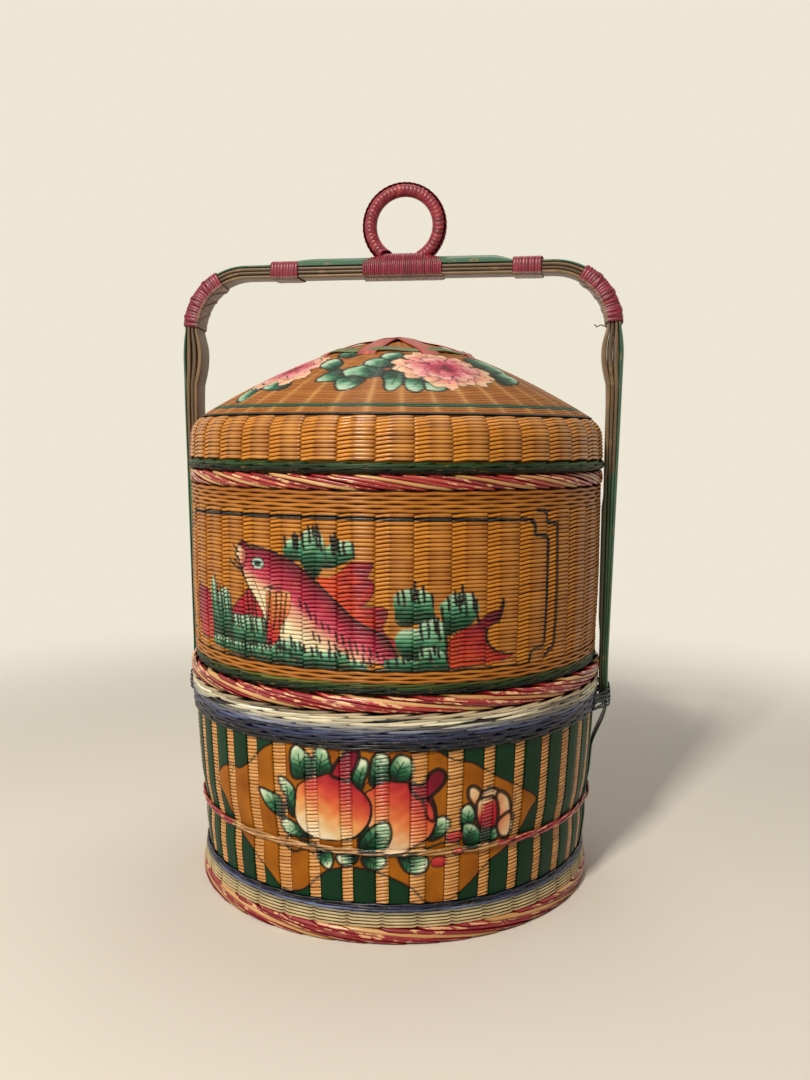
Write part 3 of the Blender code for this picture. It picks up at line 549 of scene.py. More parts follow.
def carp(canvas):
    fillShape(canvas, [(-22.5, 216.5), (-15, 217.5), (-8, 222), (-3.5, 226), (2.5, 227), (9.5, 226.5),
            (9, 222.5), (7, 218), (9.5, 216.5), (10.5, 212), (8.5, 206), (4.5, 201.5), (14.5, 201.5),
            (18, 199.5), (17.5, 194.5), (15.5, 189.5), (18, 185), (23.5, 182), (25.5, 177.5),
            (7.5, 178.5), (-6, 192), (-16.5, 205)],
        shaded((-14, 206), (13, 219), "d4481f", "c63a22", "9c1e28", "6a1228", rough=0.2), line=0.5)
    for a, b in (((-18, 212), (4, 224)), ((-12, 207), (7, 217)), ((-10, 203), (7, 209)),
            ((-6, 198), (6, 203)), ((0, 195), (15, 199)), ((6, 191), (16, 192)), ((10, 187), (17, 186))):
        drawLine(canvas, [a, b], 0.7, tone("6b1426"), steps=0, broken=0.3)
    fillShape(canvas, [(55.5, 183.5), (62, 188), (68.5, 190.5), (73.5, 194), (79.5, 197), (84.5, 198.5),
            (86.5, 203.5), (88, 203), (86.5, 197), (84.5, 191.5), (78.5, 188.5), (77, 184), (78.5, 179.5),
            (81, 175.5), (86.5, 172.5), (95, 171), (90.5, 169), (82.5, 167.5), (74.5, 167), (64.5, 166.5),
            (55, 165.5), (52.5, 173), (53, 179)],
        shaded((66, 168), (82, 198), "bc4020", "b43020", "981c20", "641024", "541024", rough=0.16),
        line=0.5)
    for a, b in (((57, 180), (83, 197)), ((60, 178), (76, 189)), ((57, 174), (76, 182)),
            ((60, 170), (88, 169))):
        drawLine(canvas, [a, b], 0.6, tone("7a1626"), steps=0, broken=0.3)
    drawLine(canvas, [(77.5, 188), (76.5, 182), (79.5, 177), (86, 173), (95, 171.5)], 1.8, dotted=True)
    drawLine(canvas, [(86.5, 204.5), (87, 199), (84.5, 191.5)], 1.8, dotted=True)
    body = [(-76.5, 235), (-70, 232), (-62, 232), (-54, 231), (-47, 228.5), (-37, 224.5), (-27.5, 217.5),
        (-20, 211.5), (-10.5, 202.5), (-0.5, 193.5), (11, 187.5), (16, 184.5), (21, 178.5), (24, 172.5),
        (19, 168.5), (2, 169.5), (-17, 171), (-34.5, 174.5), (-45.5, 178), (-51, 179.5), (-55.5, 184),
        (-57.5, 188.5), (-64, 198.5), (-69, 205), (-73.5, 211), (-77, 217), (-80, 219.5), (-78.5, 223),
        (-81, 225.5), (-79, 228), (-80, 232)]

    def skinTone(x, y, depth):
        # from the back down: maroon, crimson, rose, cream
        line = np.interp(x, (-76, -54, -37, -20, -6, 11, 24), (235, 231, 225, 212, 198, 188, 173))
        slope = np.interp(x, (-76, -60, -37, -20, -6, 11), (24, 28, 40, 36, 30, 24))
        share = (line - y) / slope * 0.98 + 0.05 * ripple(x, y, 3.1)
        return between(("5a1020", "8e1e34", "b62c46", "d25464", "e6b48e", "f0e0b4"), share)
    fillShape(canvas, body, skinTone, line=0.95)
    drawLine(canvas, [(-76.5, 235), (-62, 232.4), (-47, 229), (-37, 225), (-20, 212), (-0.5, 194),
            (11, 188)], 1.2, tone("240a12"), broken=0.35)
    for x, y in ((-34, 204), (-28, 198), (-20, 192), (-12, 187), (-4, 183), (4, 180), (12, 176),
            (-26, 186), (-16, 181), (-6, 177), (4, 174)):
        strokes(canvas, [(x, y), (x + 3.6, y - 2)], 5.5, 0.2, 1.5, colour=tone("3a0c1c"))
    fillShape(canvas, [(-80, 232), (-76, 231), (-73.5, 226), (-76, 220), (-80, 219.5), (-79, 223.5),
            (-81.5, 226)], shaded((-81, 226), (-74, 224), "f1dcb4", "e48d74", "7d1c34"), line=0.7)
    for line in ([(-77, 218), (-82, 219.5), (-88, 223)], [(-79.5, 224.5), (-83, 227)],
            [(-80, 228.5), (-84, 232)], [(-78, 221), (-84, 223.5)]):
        drawLine(canvas, line, 1.8, dotted=True)
    eye = np.array([-63.5, 223])
    turn = np.linspace(0, 2 * math.pi, 10)[:-1]
    for size, colour in ((5.4, "1a0b10"), (4.4, "b9cdbf"), (2.9, "1c4a3a"), (1.5, "0d0d0c")):
        fillShape(canvas, eye + size * np.stack([np.cos(turn) * 1.05, np.sin(turn) * 0.68], 1),
            shaded(eye, eye + 9, colour, colour), line=0, fade=0.25)
    for shift in (0, 4.5):
        drawLine(canvas, [(-59 + shift, 208.5), (-54.5 + shift, 209.8), (-50 + shift, 209.3)], 1.1)
    drawLine(canvas, [(-66, 212), (-61, 203), (-58, 195), (-57, 188)], 0.8, tone("7a2230"), broken=0.3)
    fillShape(canvas, [(-56.5, 206), (-47.5, 207.5), (-40.5, 208), (-40, 201.5), (-41.5, 194.5),
            (-46.5, 188), (-49, 180), (-52, 174.5), (-57, 174.5), (-57, 184), (-57, 197)],
        shaded((-45, 208), (-53, 177), "e6a468", "e08048", "cf4a30", "b3202e", rough=0.12), line=0.5)
    strokes(canvas, [(-54.5, 206), (-50, 206.5), (-46, 207), (-42.5, 206.5)], 19, -0.12, 1.35)
    fillShape(canvas, [(-71.5, 207), (-67, 203.5), (-62.5, 197.5), (-60, 192), (-71, 191.5), (-80.5, 191),
            (-88, 191.5), (-83.5, 196.5), (-77.5, 202)],
        shaded((-66, 205), (-74, 191), "9c1c30", "c9363a", "b01f2e", "941a2c"), line=0.7)
    strokes(canvas, [(-73, 205), (-69.5, 205), (-66, 203)], 10, 0.1, 1.7)


def keyFrame(canvas):
    # a brushed frame with stepped corners, its upright lines broken over the rows
    top = [(-18, 251.5), (53.5, 250.7), (100.5, 249.7), (107, 248.7), (109.5, 245), (110, 240.7),
        (119, 239), (121, 235.5)]
    low = [(120, 177), (118.5, 173.5), (110, 172), (108, 168), (107, 164.3), (99.5, 164), (59, 165),
        (2, 164.8), (-18, 165)]
    for hand in (1, -1):
        def place(points):
            return [(-18 + hand * (x + 18), y) for x, y in points]
        drawLine(canvas, place(top), 2.9)
        drawLine(canvas, place(low), 2.4, broken=0.2)
        drawLine(canvas, place([(121, 237), (120.5, 205), (120, 176)]), 3.2, dotted=True)
        drawLine(canvas, place([(111.5, 255), (118.5, 253), (119.5, 247.5), (128, 246), (129, 240),
                    (129, 178), (125, 170.5), (121.5, 167)]), 3.0, dotted=True)


def paintUpperPanel(canvas):
    keyFrame(canvas)
    for points in ([(-45, 232), (-41, 238), (-36, 239), (-31.5, 236), (-29, 228), (-34, 226), (-42, 227)],
            [(-20, 229), (-16, 235.5), (-9, 238.5), (-3, 238), (-0.5, 233.5), (-2, 228.5), (-8, 225),
                (-18, 222)],
            [(-33.5, 226), (-34, 236), (-31, 243), (-26, 244.5), (-20.5, 242.5), (-18.5, 236),
                (-18.5, 224), (-24, 216.5), (-30, 220.5)]):
        weed(canvas, points)
    strokes(canvas, [(-37, 242), (-23, 247), (-25.5, 246), (-12, 243), (-14.5, 241)], 8, 0.15, 2.2)
    fillShape(canvas, [(-137, 203), (-126, 203), (-118, 201), (-111.5, 197), (-107.5, 188.5),
            (-106.5, 180), (-109, 172), (-132.5, 172), (-140, 187)],
        shaded((-136, 200), (-112, 174), "7a1428", "a82236", "c84a3a"), line=0.6)
    weed(canvas, [(-89.5, 188), (-80.5, 191), (-71, 191), (-63, 190.5), (-57, 189), (-56.5, 184),
            (-58, 172), (-72, 169), (-91, 169)])
    weed(canvas, [(-101.5, 201.5), (-95, 205.5), (-90, 202.5), (-88.5, 196), (-87, 186), (-87, 170),
            (-105.5, 170), (-104, 191.5)])
    weed(canvas, [(-113, 205), (-109.5, 211), (-105.5, 205.5), (-102.5, 199.5), (-100.5, 192),
            (-101.5, 170), (-110, 170), (-112, 190.5)])
    carp(canvas)
    for points in ([(-57, 172), (-51, 177), (-44, 180), (-36, 179.5), (-32, 174), (-32, 166), (-57, 167)],
            [(-33, 171), (-27, 175.5), (-17, 175), (-6.5, 174), (-3.5, 169), (-4, 164.8), (-32, 165)],
            [(-108, 174), (-90, 174), (-72, 173.5), (-56, 175), (-40, 170), (-40, 165), (-70, 166),
                (-108, 168)],
            [(-3, 170), (2, 170.5), (6, 168), (6, 164.5), (-3, 164.8)],
            [(17, 171), (23, 172), (29.5, 174), (36.5, 174), (40, 169), (40, 163.5), (27.5, 163.5),
                (17, 165)],
            [(36.5, 193), (44.5, 195.5), (50.5, 190.5), (51.5, 184.5), (52.5, 176.5), (52.5, 165),
                (39, 163.5), (35.5, 167), (37.5, 177), (35.5, 185)],
            [(47.5, 202), (50.5, 205), (53.5, 208.5), (59.5, 209), (66, 208.5), (69.5, 205.5),
                (71.5, 199.5), (69.5, 194), (66, 190), (60, 187.5), (54, 184.5), (50.5, 185.5),
                (49, 194)],
            [(21.5, 205.5), (23, 210), (27.5, 211.5), (33.5, 212), (39, 211), (44, 207), (44.5, 201),
                (44, 195), (39, 193), (29.5, 190.5), (23, 192), (22, 199)]):
        weed(canvas, points)
    weed(canvas, [(23, 185.5), (27.5, 189), (34.5, 189), (37.5, 183), (38.5, 172), (27.5, 172),
            (23, 178.5)], marks=False)
    weed(canvas, [(36.5, 175.5), (43.5, 178), (50.5, 175), (53, 168.5), (52.5, 164), (39, 163.5)])
    strokes(canvas, [(33.5, 216), (61, 213)], 9, 0.0, 2.2)


def blend(place, tip, *tones):
    return shaded(place, tip, *tones, rough=0.05)


def peach(canvas, outline, nib, top, foot, dark, light):
    fillShape(canvas, outline, blend(top, foot, *dark, *light), line=0)
    path = rounded(outline)
    drawLine(canvas, np.concatenate([path, path[:1]]), 1.25, steps=0)
    right = [p for p in outline if p[0] > top[0] - 6]
    drawLine(canvas, right[:9], 1.9)
    fillShape(canvas, nib, blend(nib[3], nib[0], "6a0f20", "86142a", "9c2028"), line=1.5)


def paintLowerPanel(canvas, ground=True):
    lozenge = [(-113, 80), (-104, 91), (-92, 95), (-84, 95), (-77, 99), (-71, 103), (-62, 112),
        (-50, 118), (-36, 122), (0, 124), (36, 122), (47, 118), (57, 112), (69, 109),
        (80, 102), (98, 92), (117, 80), (112, 72), (104, 58), (94, 51), (82, 45), (70, 34), (56, 24),
        (42, 25), (34, 33), (20, 41),
        (0, 46), (-18, 43), (-28, 35), (-38, 27), (-52, 25), (-62, 33), (-76, 44), (-88, 52), (-98, 62),
        (-104, 72)]
    if ground:
        def brown(x, y, depth):
            return between(("8e4c04", "a8620c"), 0.5 + 0.5 * ripple(x, y, 6.0))
        fillShape(canvas, lozenge, brown, line=0.95)
    else:
        outline = rounded(lozenge)
        drawLine(canvas, np.concatenate([outline, outline[:1]]), 1.3, steps=0, broken=0.4)
    leaves = [
        ([(-48.5, 70.5), (-40, 69.5), (-32, 64), (-29.5, 61.5), (-44, 60.5), (-49, 63.5)], (-32, 63),
            (-47, 68)),
        ([(-66, 86.5), (-56, 85.5), (-49, 83), (-48, 71.5), (-57, 74), (-63, 79)], (-47, 73), (-64, 86)),
        ([(-49, 97), (-41, 93), (-39, 87), (-40, 74), (-44, 76), (-45.5, 84), (-49, 90.5)], (-41, 76),
            (-46, 95)),
        ([(-41, 114), (-37.5, 118), (-33, 116), (-27.5, 110.5), (-27, 101), (-39.5, 97.5),
                (-41.5, 106.5)], (-32, 99), (-37, 116)),
        ([(-23.5, 119), (-17.5, 117), (-15.5, 109.5), (-13, 104.5), (-23.5, 100), (-27.5, 106),
                (-25.5, 113.5)], (-22, 101), (-20, 118)),
        ([(10, 114.5), (14.5, 117.5), (19, 114.5), (20, 107), (19, 98), (8.5, 98), (8.5, 108.5)],
            (12, 98), (15, 117)),
        ([(1, 113.5), (6.5, 112.5), (7, 107), (5, 101), (2.5, 94), (-4, 99), (-2.5, 106.5)], (1.5, 95),
            (5, 112)),
        ([(25, 116), (31.5, 114), (33, 107), (31, 101), (23.5, 100.5), (19, 106), (21, 112)], (23, 101),
            (29, 115)),
        ([(-26, 54), (-18, 55.5), (-15.5, 49.5), (-18, 43.5), (-24, 46.5)], (-24, 54), (-18, 44)),
        ([(3.5, 53), (16, 53), (17, 49), (11, 45), (4, 47.5)], (4, 52), (15, 46)),
        ([(-12.5, 53), (-1, 54), (-1, 49.5), (-8, 46.5), (-12.5, 48.5)], (-1, 53), (-9, 47)),
        ([(26, 54), (41.5, 53), (43, 47), (39, 43), (31.5, 43.5), (27, 48)], (27, 53), (38, 44)),
        ([(0.5, 63.5), (4, 71), (11, 76.5), (18, 77), (21, 70), (20, 62), (14.5, 57), (3.5, 57)], (4, 58),
            (19, 74)),
        ([(43, 75), (52, 78), (55, 73), (52, 66), (43, 63.5)], (44, 64), (53, 76)),
        ([(62.5, 81), (67, 84), (71.5, 80), (71.5, 73.5), (66, 67), (62, 74.5)], (67, 68), (68, 83)),
        ([(64, 71), (71, 71), (77, 63.5), (76, 57), (66.5, 58)], (67, 59), (71, 72)),
        ([(77, 67.5), (82, 69.5), (88.5, 64.5), (88, 59), (78.5, 59)], (79, 60), (88, 67))]
    for points, root, tip in leaves:
        leaf(canvas, points, root, tip)
    peach(canvas, [(5, 91.5), (9.5, 95.5), (15.5, 99.5), (23.5, 100), (32.5, 99), (40.5, 96.5),
            (44.5, 89.5), (47, 82.5), (47, 73.5), (43, 65), (34, 59.5), (25.5, 56), (14.5, 57), (9, 66.5),
            (5.5, 79)],
        [(31.5, 98.5), (37.5, 97.5), (40.5, 100), (43, 104.5), (47.5, 106.8), (51.5, 105), (52.3, 100.5),
            (49.5, 96), (45, 92), (40, 88.5), (34, 92)], (36, 98), (15, 60),
        ("8c1a28", "b53030", "cc4a34"), ("d96a3c", "e38c52", "ecb886", "f3dcb8"))
    fillShape(canvas, [(40, 90), (43.5, 87), (46, 81), (45.5, 75.5), (42, 78), (40, 83.5)],
        blend((42, 90), (44, 76), "a02430", "cf4a3a"), line=1.2)
    leaf(canvas, [(0.5, 60), (5, 68), (12, 74), (18, 75.5), (20.5, 70), (19.5, 63), (14.5, 57),
            (3.5, 56.5)], (4, 58), (19, 73))
    peach(canvas, [(-37, 93), (-31.5, 97), (-23, 100.5), (-13.5, 104), (-4.5, 101), (0, 96.5), (5, 92),
            (8.5, 86), (8.5, 79), (6, 72.5), (-0.5, 65.5), (-7.5, 62.5), (-16.5, 61.5), (-25.5, 61.5),
            (-33.5, 64.5),
            (-38, 69.5), (-39.5, 76), (-38.5, 86)],
        [(-15, 102.5), (-11.5, 110), (-6.5, 116), (-2.5, 119), (1.5, 117), (1, 111.5), (-2, 105),
            (-4.5, 99.5), (-9.5, 100.5)], (-8, 103), (-24, 63),
        ("8c1a28", "ae2a2e", "c94434"), ("db7140", "e69c5c", "edc68e", "f3e0bc"))
    drawLine(canvas, [(-49, 62), (-30, 57.5), (-12, 55), (10, 54), (34, 56), (52, 61), (62, 60)], 1.7,
        tone("1f2a1c"))
    petals = [
        ([(67, 93.5), (70.5, 94.5), (75, 90.5), (75.5, 84), (73, 78), (69.5, 84), (67, 88.5)], (69, 93)),
        ([(75, 89), (80.5, 92), (87, 89.5), (88, 83), (81.5, 81), (75.5, 84)], (81, 91)),
        ([(87, 89), (94, 85), (96.5, 76.5), (93, 71), (86.5, 70), (84.5, 80)], (95, 80)),
        ([(87.5, 70), (96, 75), (98.5, 66), (96.5, 59), (90, 61)], (97, 64)),
        ([(74, 86), (85, 85), (87.5, 73), (84.5, 66.5), (76, 68), (72.5, 77)], (74, 84))]
    for petal, tip in petals:
        fillShape(canvas, petal, blend((81, 75), tip, "9c1426", "cc4038", "e8a070", "f0cfa0"), line=1.5)
    fillShape(canvas, [(77, 82), (84, 81), (86, 74), (82, 69), (76, 71)],
        blend((80, 80), (80, 70), "c22c34", "8c1426"), line=0)
    berry = ((-1, 0), (-0.5, 0.9), (0.6, 0.9), (1, 0), (0.5, -0.9), (-0.6, -0.9))
    for x0, y0, size in ((59, 64.3, 5.5), (50, 49.5, 5), (62, 55, 4)):
        fillShape(canvas, [(x0 + size * x, y0 + size * y * 0.62) for x, y in berry],
                  blend((x0, y0 + 3), (x0, y0 - 3), "d24436", "94182a"), line=0.6)
    for twig in ([(-48, 58), (-41, 60), (-36, 56), (-40, 51.5), (-46, 52), (-48, 56)],
            [(-49, 53), (-43, 50), (-34, 53), (-28, 51)], [(-38, 58), (-30, 59.5), (-24, 56.5)]):
        drawLine(canvas, twig, 1.2, tone("2a1a0c"), broken=0.3)
    for hand, x0 in ((1, 96), (-1, -92)):
        drawLine(canvas, [(x0, 70), (x0 + hand * 3, 84), (x0 - hand * 2, 94)], 0.6, tone("5b3413"),
            broken=0.6)


# a petal's outline as shares of its length and of its width
petalShape = ((0.12, -0.3), (0.5, -0.75), (0.86, -0.95), (1.0, -0.45), (0.92, 0.0), (1.0, 0.5),
    (0.84, 0.95), (0.5, 0.75), (0.12, 0.3))


def peony(canvas, heart, tips):
    # petals laid from the outside in: peach at the rim, rose towards the heart
    heart = np.array(heart, float)
    turn = 0.0
    for reach, wide, tones in ((1.0, 0.62, ("a02848", "d04c6c", "e68088", "eeac8c", "f4d2aa")),
            (0.7, 0.95, ("941c3c", "c23c5c", "de6c7c", "eca09a", "f2c4a8")),
            (0.4, 1.0, ("70122e", "a0243e", "c84c62", "e2868a"))):
        for tip in tips if reach > 0.9 else tips[::2]:
            share = reach if reach > 0.9 else reach * (1 + 0.08 * math.sin(tip[0]))
            right, up = (np.array(tip, float) - heart) * share
            axis = np.array([right * math.cos(turn) - up * math.sin(turn),
                    right * math.sin(turn) + up * math.cos(turn)])
            side = np.array([-axis[1], axis[0]]) * wide * 0.5
            petal = [heart + axis * a + side * w for a, w in petalShape]
            fillShape(canvas, petal, shaded(heart + axis * 0.1, heart + axis, *tones, rough=0.12),
                line=0.6 if reach > 0.5 else 0.4)
            for way in (-0.22, 0.2):
                inner, outer = side * way * 0.5 + axis * 0.3, side * way * 1.6 + axis * 0.75
                drawLine(canvas, [heart + inner, heart + outer], 0.7, tone("8a1a48"), steps=0, broken=0.3)
        turn += 0.34


def paintDomePanel(canvas):
    tones = ("08241a", "164030", "30704f", "8ab898", "bcd6b8")
    leaves = [
        ([(-34.5, -90.5), (-32.5, -83.5), (-28.5, -79), (-22, -78), (-16, -88), (-21.5, -94.5)],
            (-19, -82), (-34, -90)),
        ([(-38, -65.5), (-36.5, -56), (-29, -55.5), (-22.5, -70), (-27, -78)], (-24, -74), (-36, -60)),
        ([(-20, -81.5), (-13.5, -76), (-4, -76), (4.5, -80.5), (6, -91), (-3.5, -93), (-13.5, -93)],
            (5, -85), (-19, -84)),
        ([(-9, -72.5), (-4.5, -64), (1.5, -64), (10, -70), (10, -77), (1.5, -79)], (10, -74), (-8, -69)),
        ([(0, -62), (2.5, -54), (11, -52), (15, -60), (10, -68)], (13, -64), (2, -57)),
        ([(-21.5, -94.5), (-18, -90.5), (-10.5, -90), (-3.5, -95), (-7.5, -104), (-13, -107),
                (-18.5, -105)], (-6, -93), (-14, -105)),
        ([(8.5, -97.5), (6, -90), (9.5, -81), (15.5, -81), (19, -90.5), (19, -101), (14.5, -108),
                (10.5, -106)], (14, -82), (13, -106)),
        ([(22.5, -103.5), (20, -92), (24.5, -85), (32, -85), (36, -91.5), (31.5, -103.5), (27, -106)],
            (30, -86), (25, -104)),
        ([(31.5, -88), (36.5, -83), (41.5, -86), (45.5, -96), (38.5, -102), (33.5, -100.5)], (38, -85),
            (40, -100)),
        ([(-75.5, -71), (-71, -60), (-54, -75.5), (-53, -88.5), (-61, -87)], (-56, -76), (-72, -74)),
        ([(-90, -70.5), (-86, -58), (-73.5, -71), (-77.5, -79), (-84, -84)], (-76, -72), (-88, -72)),
        ([(49.5, -36.5), (58, -17.5), (74, -24), (76.5, -41.5), (70, -60), (59.5, -50.5)], (60, -46),
            (72, -24)),
        ([(70, -50.5), (74, -33.5), (84, -36), (82, -54), (74, -63.5)], (73, -56), (82, -38)),
        ([(-30, -50), (-26, -36), (-16, -38), (-14, -52), (-20, -58)], (-20, -56), (-24, -38))]
    for points, root, tip in leaves:
        leaf(canvas, points, root, tip, tones, veins=2)
    peony(canvas, (41, -67), [(9, -75), (16, -52), (32, -45), (50, -42), (69, -54), (69, -72), (58, -84),
            (44, -96), (29, -90), (17, -86)])
    peony(canvas, (-60, -48), [(-87, -50), (-77, -29), (-61, -20), (-46, -31), (-36, -50), (-42, -67),
            (-50, -81), (-66, -72), (-81, -65)])


def wrapped(x, half):
    return (x + half) % (2 * half) - half


def angleOf(verts):
    return np.arctan2(verts[:, 0], -verts[:, 1])


def canvasPaint(canvas):
    return np.concatenate([canvas["rgb"], canvas["cover"][:, None]], 1)


# how far from the axis each painted face lies
paintedAt = {"upperWall": 138.7, "slats": 137.8, "columns": 136.6, "hoop": 139.5}


def wallPainter(radius, panel):
    # a panel laid on the front of the wall and again on its back
    def painter(verts, grain, paint):
        s = angleOf(verts) * radius
        canvas = newCanvas(s, verts[:, 2] * 1000, paint, grain)
        panel(canvas)
        panel(dict(canvas, x=wrapped(s - math.pi * radius, math.pi * radius)))
        return canvasPaint(canvas)
    return painter


# rows laid along a profile of (radius, height) points
def profileWalk(points, length):
    # the place and the slope at a length along the profile
    p = np.array(points, float)
    run = np.concatenate([[0], np.cumsum(np.hypot(*np.diff(p, axis=0).T))])

    def at(l):
        return np.interp(l, run, p[:, 0]), np.interp(l, run, p[:, 1])
    radius, height = at(length)
    (r0, z0), (r1, z1) = (at(np.clip(length + step, 0, run[-1])) for step in (-1.2 * mm, 1.2 * mm))
    return radius, height, np.arctan2(r0 - r1, z1 - z0)


def beneath(place, angle, depth):
    # the points at a depth under the profile's face, and the way out of that face
    radius, height, lean = place
    centre = onRing(radius - depth * np.cos(lean), angle, height - depth * np.sin(lean))
    return centre, onRing(np.cos(lean), angle, np.sin(lean))


def profileLength(points):
    return np.hypot(*np.diff(np.array(points, float), axis=0).T).sum()


def twinedRows(weave, stakes, rings):
    # each strand leans up through the gap before its stake, lies over it, and dives behind the next
    rowLengths = np.array(weave["rows"])[:, None, None]
    q = np.linspace(weave["from"], weave["to"], rings)
    lead, dive = weave["lead"], weave["dive"]
    rise = -weave["rise"] * (1 - soft(q, -0.70, -0.30))
    start, end = soft(-q, -weave["from"] - lead, -weave["from"]), soft(q, weave["to"] - lead, weave["to"])
    sink = weave["sink"] * soft(-q, 0.26, 0.40) + dive * start + dive * end
    sink = sink + weave["crown"] * np.clip(abs(q) / 0.3, 0, 1) ** 2
    stakes = np.array(stakes)[None, :, None]
    shape = (len(rowLengths), stakes.shape[1], rings)
    wobble = chance.normal(0, weave["wobble"], shape[:2])[:, :, None]
    length = np.broadcast_to(rowLengths + rise + wobble, shape)
    angle = np.broadcast_to((stakes + q) * stakePitch + stakePhase, shape)
    place = profileWalk(weave["profile"], length)
    depth = sink + weave["thick"] / 2 + chance.normal(0, weave["wobble"] * 0.6, shape[:2])[:, :, None]
    centre, out = (line.reshape(-1, rings, 3) for line in beneath(place, angle, depth))
    gap = soft(-q, 0.27, 0.36)
    tuck = np.exp(-((q + 0.31) / 0.04) ** 2) + 0.9 * np.exp(-((q - 0.31) / 0.04) ** 2)
    # painted shade: a strand darkens the deeper it dives, and a little towards the ends of each float
    buried = np.clip((sink - weave["sink"] * gap) / weave["dark"], 0, 1)
    dark = 1 - 0.75 * buried - 0.08 * np.clip(abs(q) / 0.28, 0, 1) ** 2 * (1 - gap)
    dark = np.maximum(dark, 0.12)
    shade = np.broadcast_to(dark, (centre.shape[0], rings))
    scale = np.broadcast_to(1 - 0.12 * gap - 0.3 * start - 0.35 * end, shade.shape)
    bundle = sweep(centre, out, caneSection(weave["width"], weave["thick"], 0.56), scale, shade)
    lit = bundle["grain"].reshape(-1, rings, 6, 4)[..., 3]
    # painted shade: a dark dot between rows where each strand tucks in
    lit[..., [0, 1, 4, 5]] *= np.maximum(1 - 0.85 * tuck, 0.15)[None, :, None]
    lit[..., 2:4] *= (1 - 0.1 * tuck)[None, :, None]
    # painted light: a brighter orange in the gaps, and a paler sheen painted over the middle of each stake
    gapAndSheenTones = tone(weave["gapTone"]) * gap[:, None] + tone(weave["stakeTone"]) * (1 - gap[:, None])
    cover = 0.55 * gap + 0.35 * np.exp(-(q / 0.16) ** 2)
    paint = bundle["paint"].reshape(-1, rings, 6, 4)
    paint[..., :3] = gapAndSheenTones[None, :, None]
    paint[..., 3] = cover[None, :, None]
    return bundle


def rowsBetween(start, end, pitch):
    count = max(int(round((end - start) / pitch)), 1)
    return start + (np.arange(count) + 0.5) * (end - start) / count


ochre = caneSkin("varnished ochre weave", "904c0c", "d88e32", wear=0.3, bareWear="e0a458", coat=0.38,
    rough=0.38)
wallSkin = caneSkin("varnished wall weave", "904c0c", "d88e32", wear=0.3, bareWear="e0a458", coat=0.2,
    rough=0.46, gleam=0.36)
domeSkin = caneSkin("dome rows", "864a0e", "b87224", streak=(8, 1500), wear=0.15, bareWear="cf9448",
    coat=0.12, rough=0.5)
plainLining = caneSkin("inner weave", "6b4526", "a67c4c", streak=(30, 900), coat=0.0, rough=0.6)

upperWeave = {"width": 2.3 * mm, "thick": 1.6 * mm, "from": -0.77, "to": 0.37, "lead": 0.13,
    "rise": 0.95 * mm, "sink": 0.3 * mm,
    "dive": 0.95 * mm, "crown": 0.2 * mm, "wobble": 0.08 * mm, "dark": 1.9 * mm, "rowPitch": 2.38 * mm,
    # gapTone and stakeTone are painted light: brighter orange in the gaps, a paler sheen over each stake
    "gapTone": "dc891a", "stakeTone": "d09042", "longRows": 11.9 * mm,
    "profile": metres((137.5, 163.9), (137.9, 175), (138.5, 190), (138.9, 208), (138.9, 266.3))}


def fineStakes(reach, turn):
    # the stakes that carry the paintings, so many degrees about a turned front and back, and the rest
    fine, coarse = [], []
    for stake in range(stakeCount):
        away = abs(wrapped(math.degrees(stake * stakePitch + stakePhase) + turn, 90))
        (fine if away < reach else coarse).append(stake)
    return fine, coarse


def makeUpperWall(w):
    w["rows"] = rowsBetween(0.3 * mm, profileLength(w["profile"]) - w["longRows"], w["rowPitch"])
    fine, coarse = fineStakes(65, 6)
    paint = wallPainter(paintedAt["upperWall"], paintUpperPanel)
    lining = turned(metres((133.7, 151.2), (136.0, 151.2), (137.2, 212), (137.2, 266), (133.7, 266)),
        shade=0.5)
    makePiece("upperWeaveLining", [lining], plainLining, "upper_tier", ["upper_wall"])
    makePiece("upperWeaveSides", [twinedRows(w, coarse, 13)], wallSkin, "upper_tier",
        painter=paint)
    for letter, stakes in zip("ABC", np.array_split(np.array(fine), 3)):
        makePiece("upperWeave" + letter, [twinedRows(w, stakes, 37)], wallSkin, "upper_tier",
            painter=paint)
    top = {"profile": [(138.9 * mm, 266.3 * mm - w["longRows"]), (138.9 * mm, 266.4 * mm)],
        "width": 2.3 * mm, "thick": 1.6 * mm, "bump": 0.3 * mm, "sway": 0.24 * mm,
        "turned": True, "segments": 400, "tones": [None], "under": 0.3 * mm}
    long = closedRows(dict(top, rows=rowsBetween(0, w["longRows"], 2.38 * mm)))
    makePiece("upperLongRows", long, wallSkin, "upper_tier", painter=paint)


# rows of long stitches, closed rows and rolled borders
def stitchedRows(band):
    # long tapered stitches laid row over row along a profile
    tall = profileLength(band["profile"])
    rows = rowsBetween(0.4 * mm, tall - 0.2 * mm, tall / len(band["tones"]))
    q = np.linspace(-1, 1, 15)
    count = band["count"]
    section = caneSection(band["width"], band["thick"], band.get("side", 0.3))
    bundles = []
    for i, (l, code) in enumerate(zip(rows, band["tones"])):
        start = np.arange(count) + (0.5 * i) % 1 + chance.normal(0, 0.08, count)
        at = start[:, None] * 2 * math.pi / count
        angle = at + q * band["reach"] * 2 * math.pi / count
        tilt = band["slant"] * band["width"] * q - 0.12 * band["width"] * np.cos(q * 3.1)
        length = l + tilt + chance.normal(0, 0.05 * mm, (count, 1))
        place = profileWalk(band["profile"], length)
        sink = band["dive"] * soft(abs(q), 0.66, 1.0) - 0.15 * mm * np.cos(q * math.pi * 2)
        centre, out = beneath(place, angle, sink + band["thick"] / 2
            + abs(chance.normal(0, 0.16 * mm, (count, 1))))
        shade = np.broadcast_to(1 - 0.85 * soft(abs(q), 0.62, 0.98), angle.shape)
        scale = np.broadcast_to(1 - 0.5 * soft(abs(q), 0.55, 1.0), angle.shape)
        bundles.append(sweep(centre, out, section, scale, shade,
                dye=dyes([code], count, uneven=band["uneven"])))
    return bundles


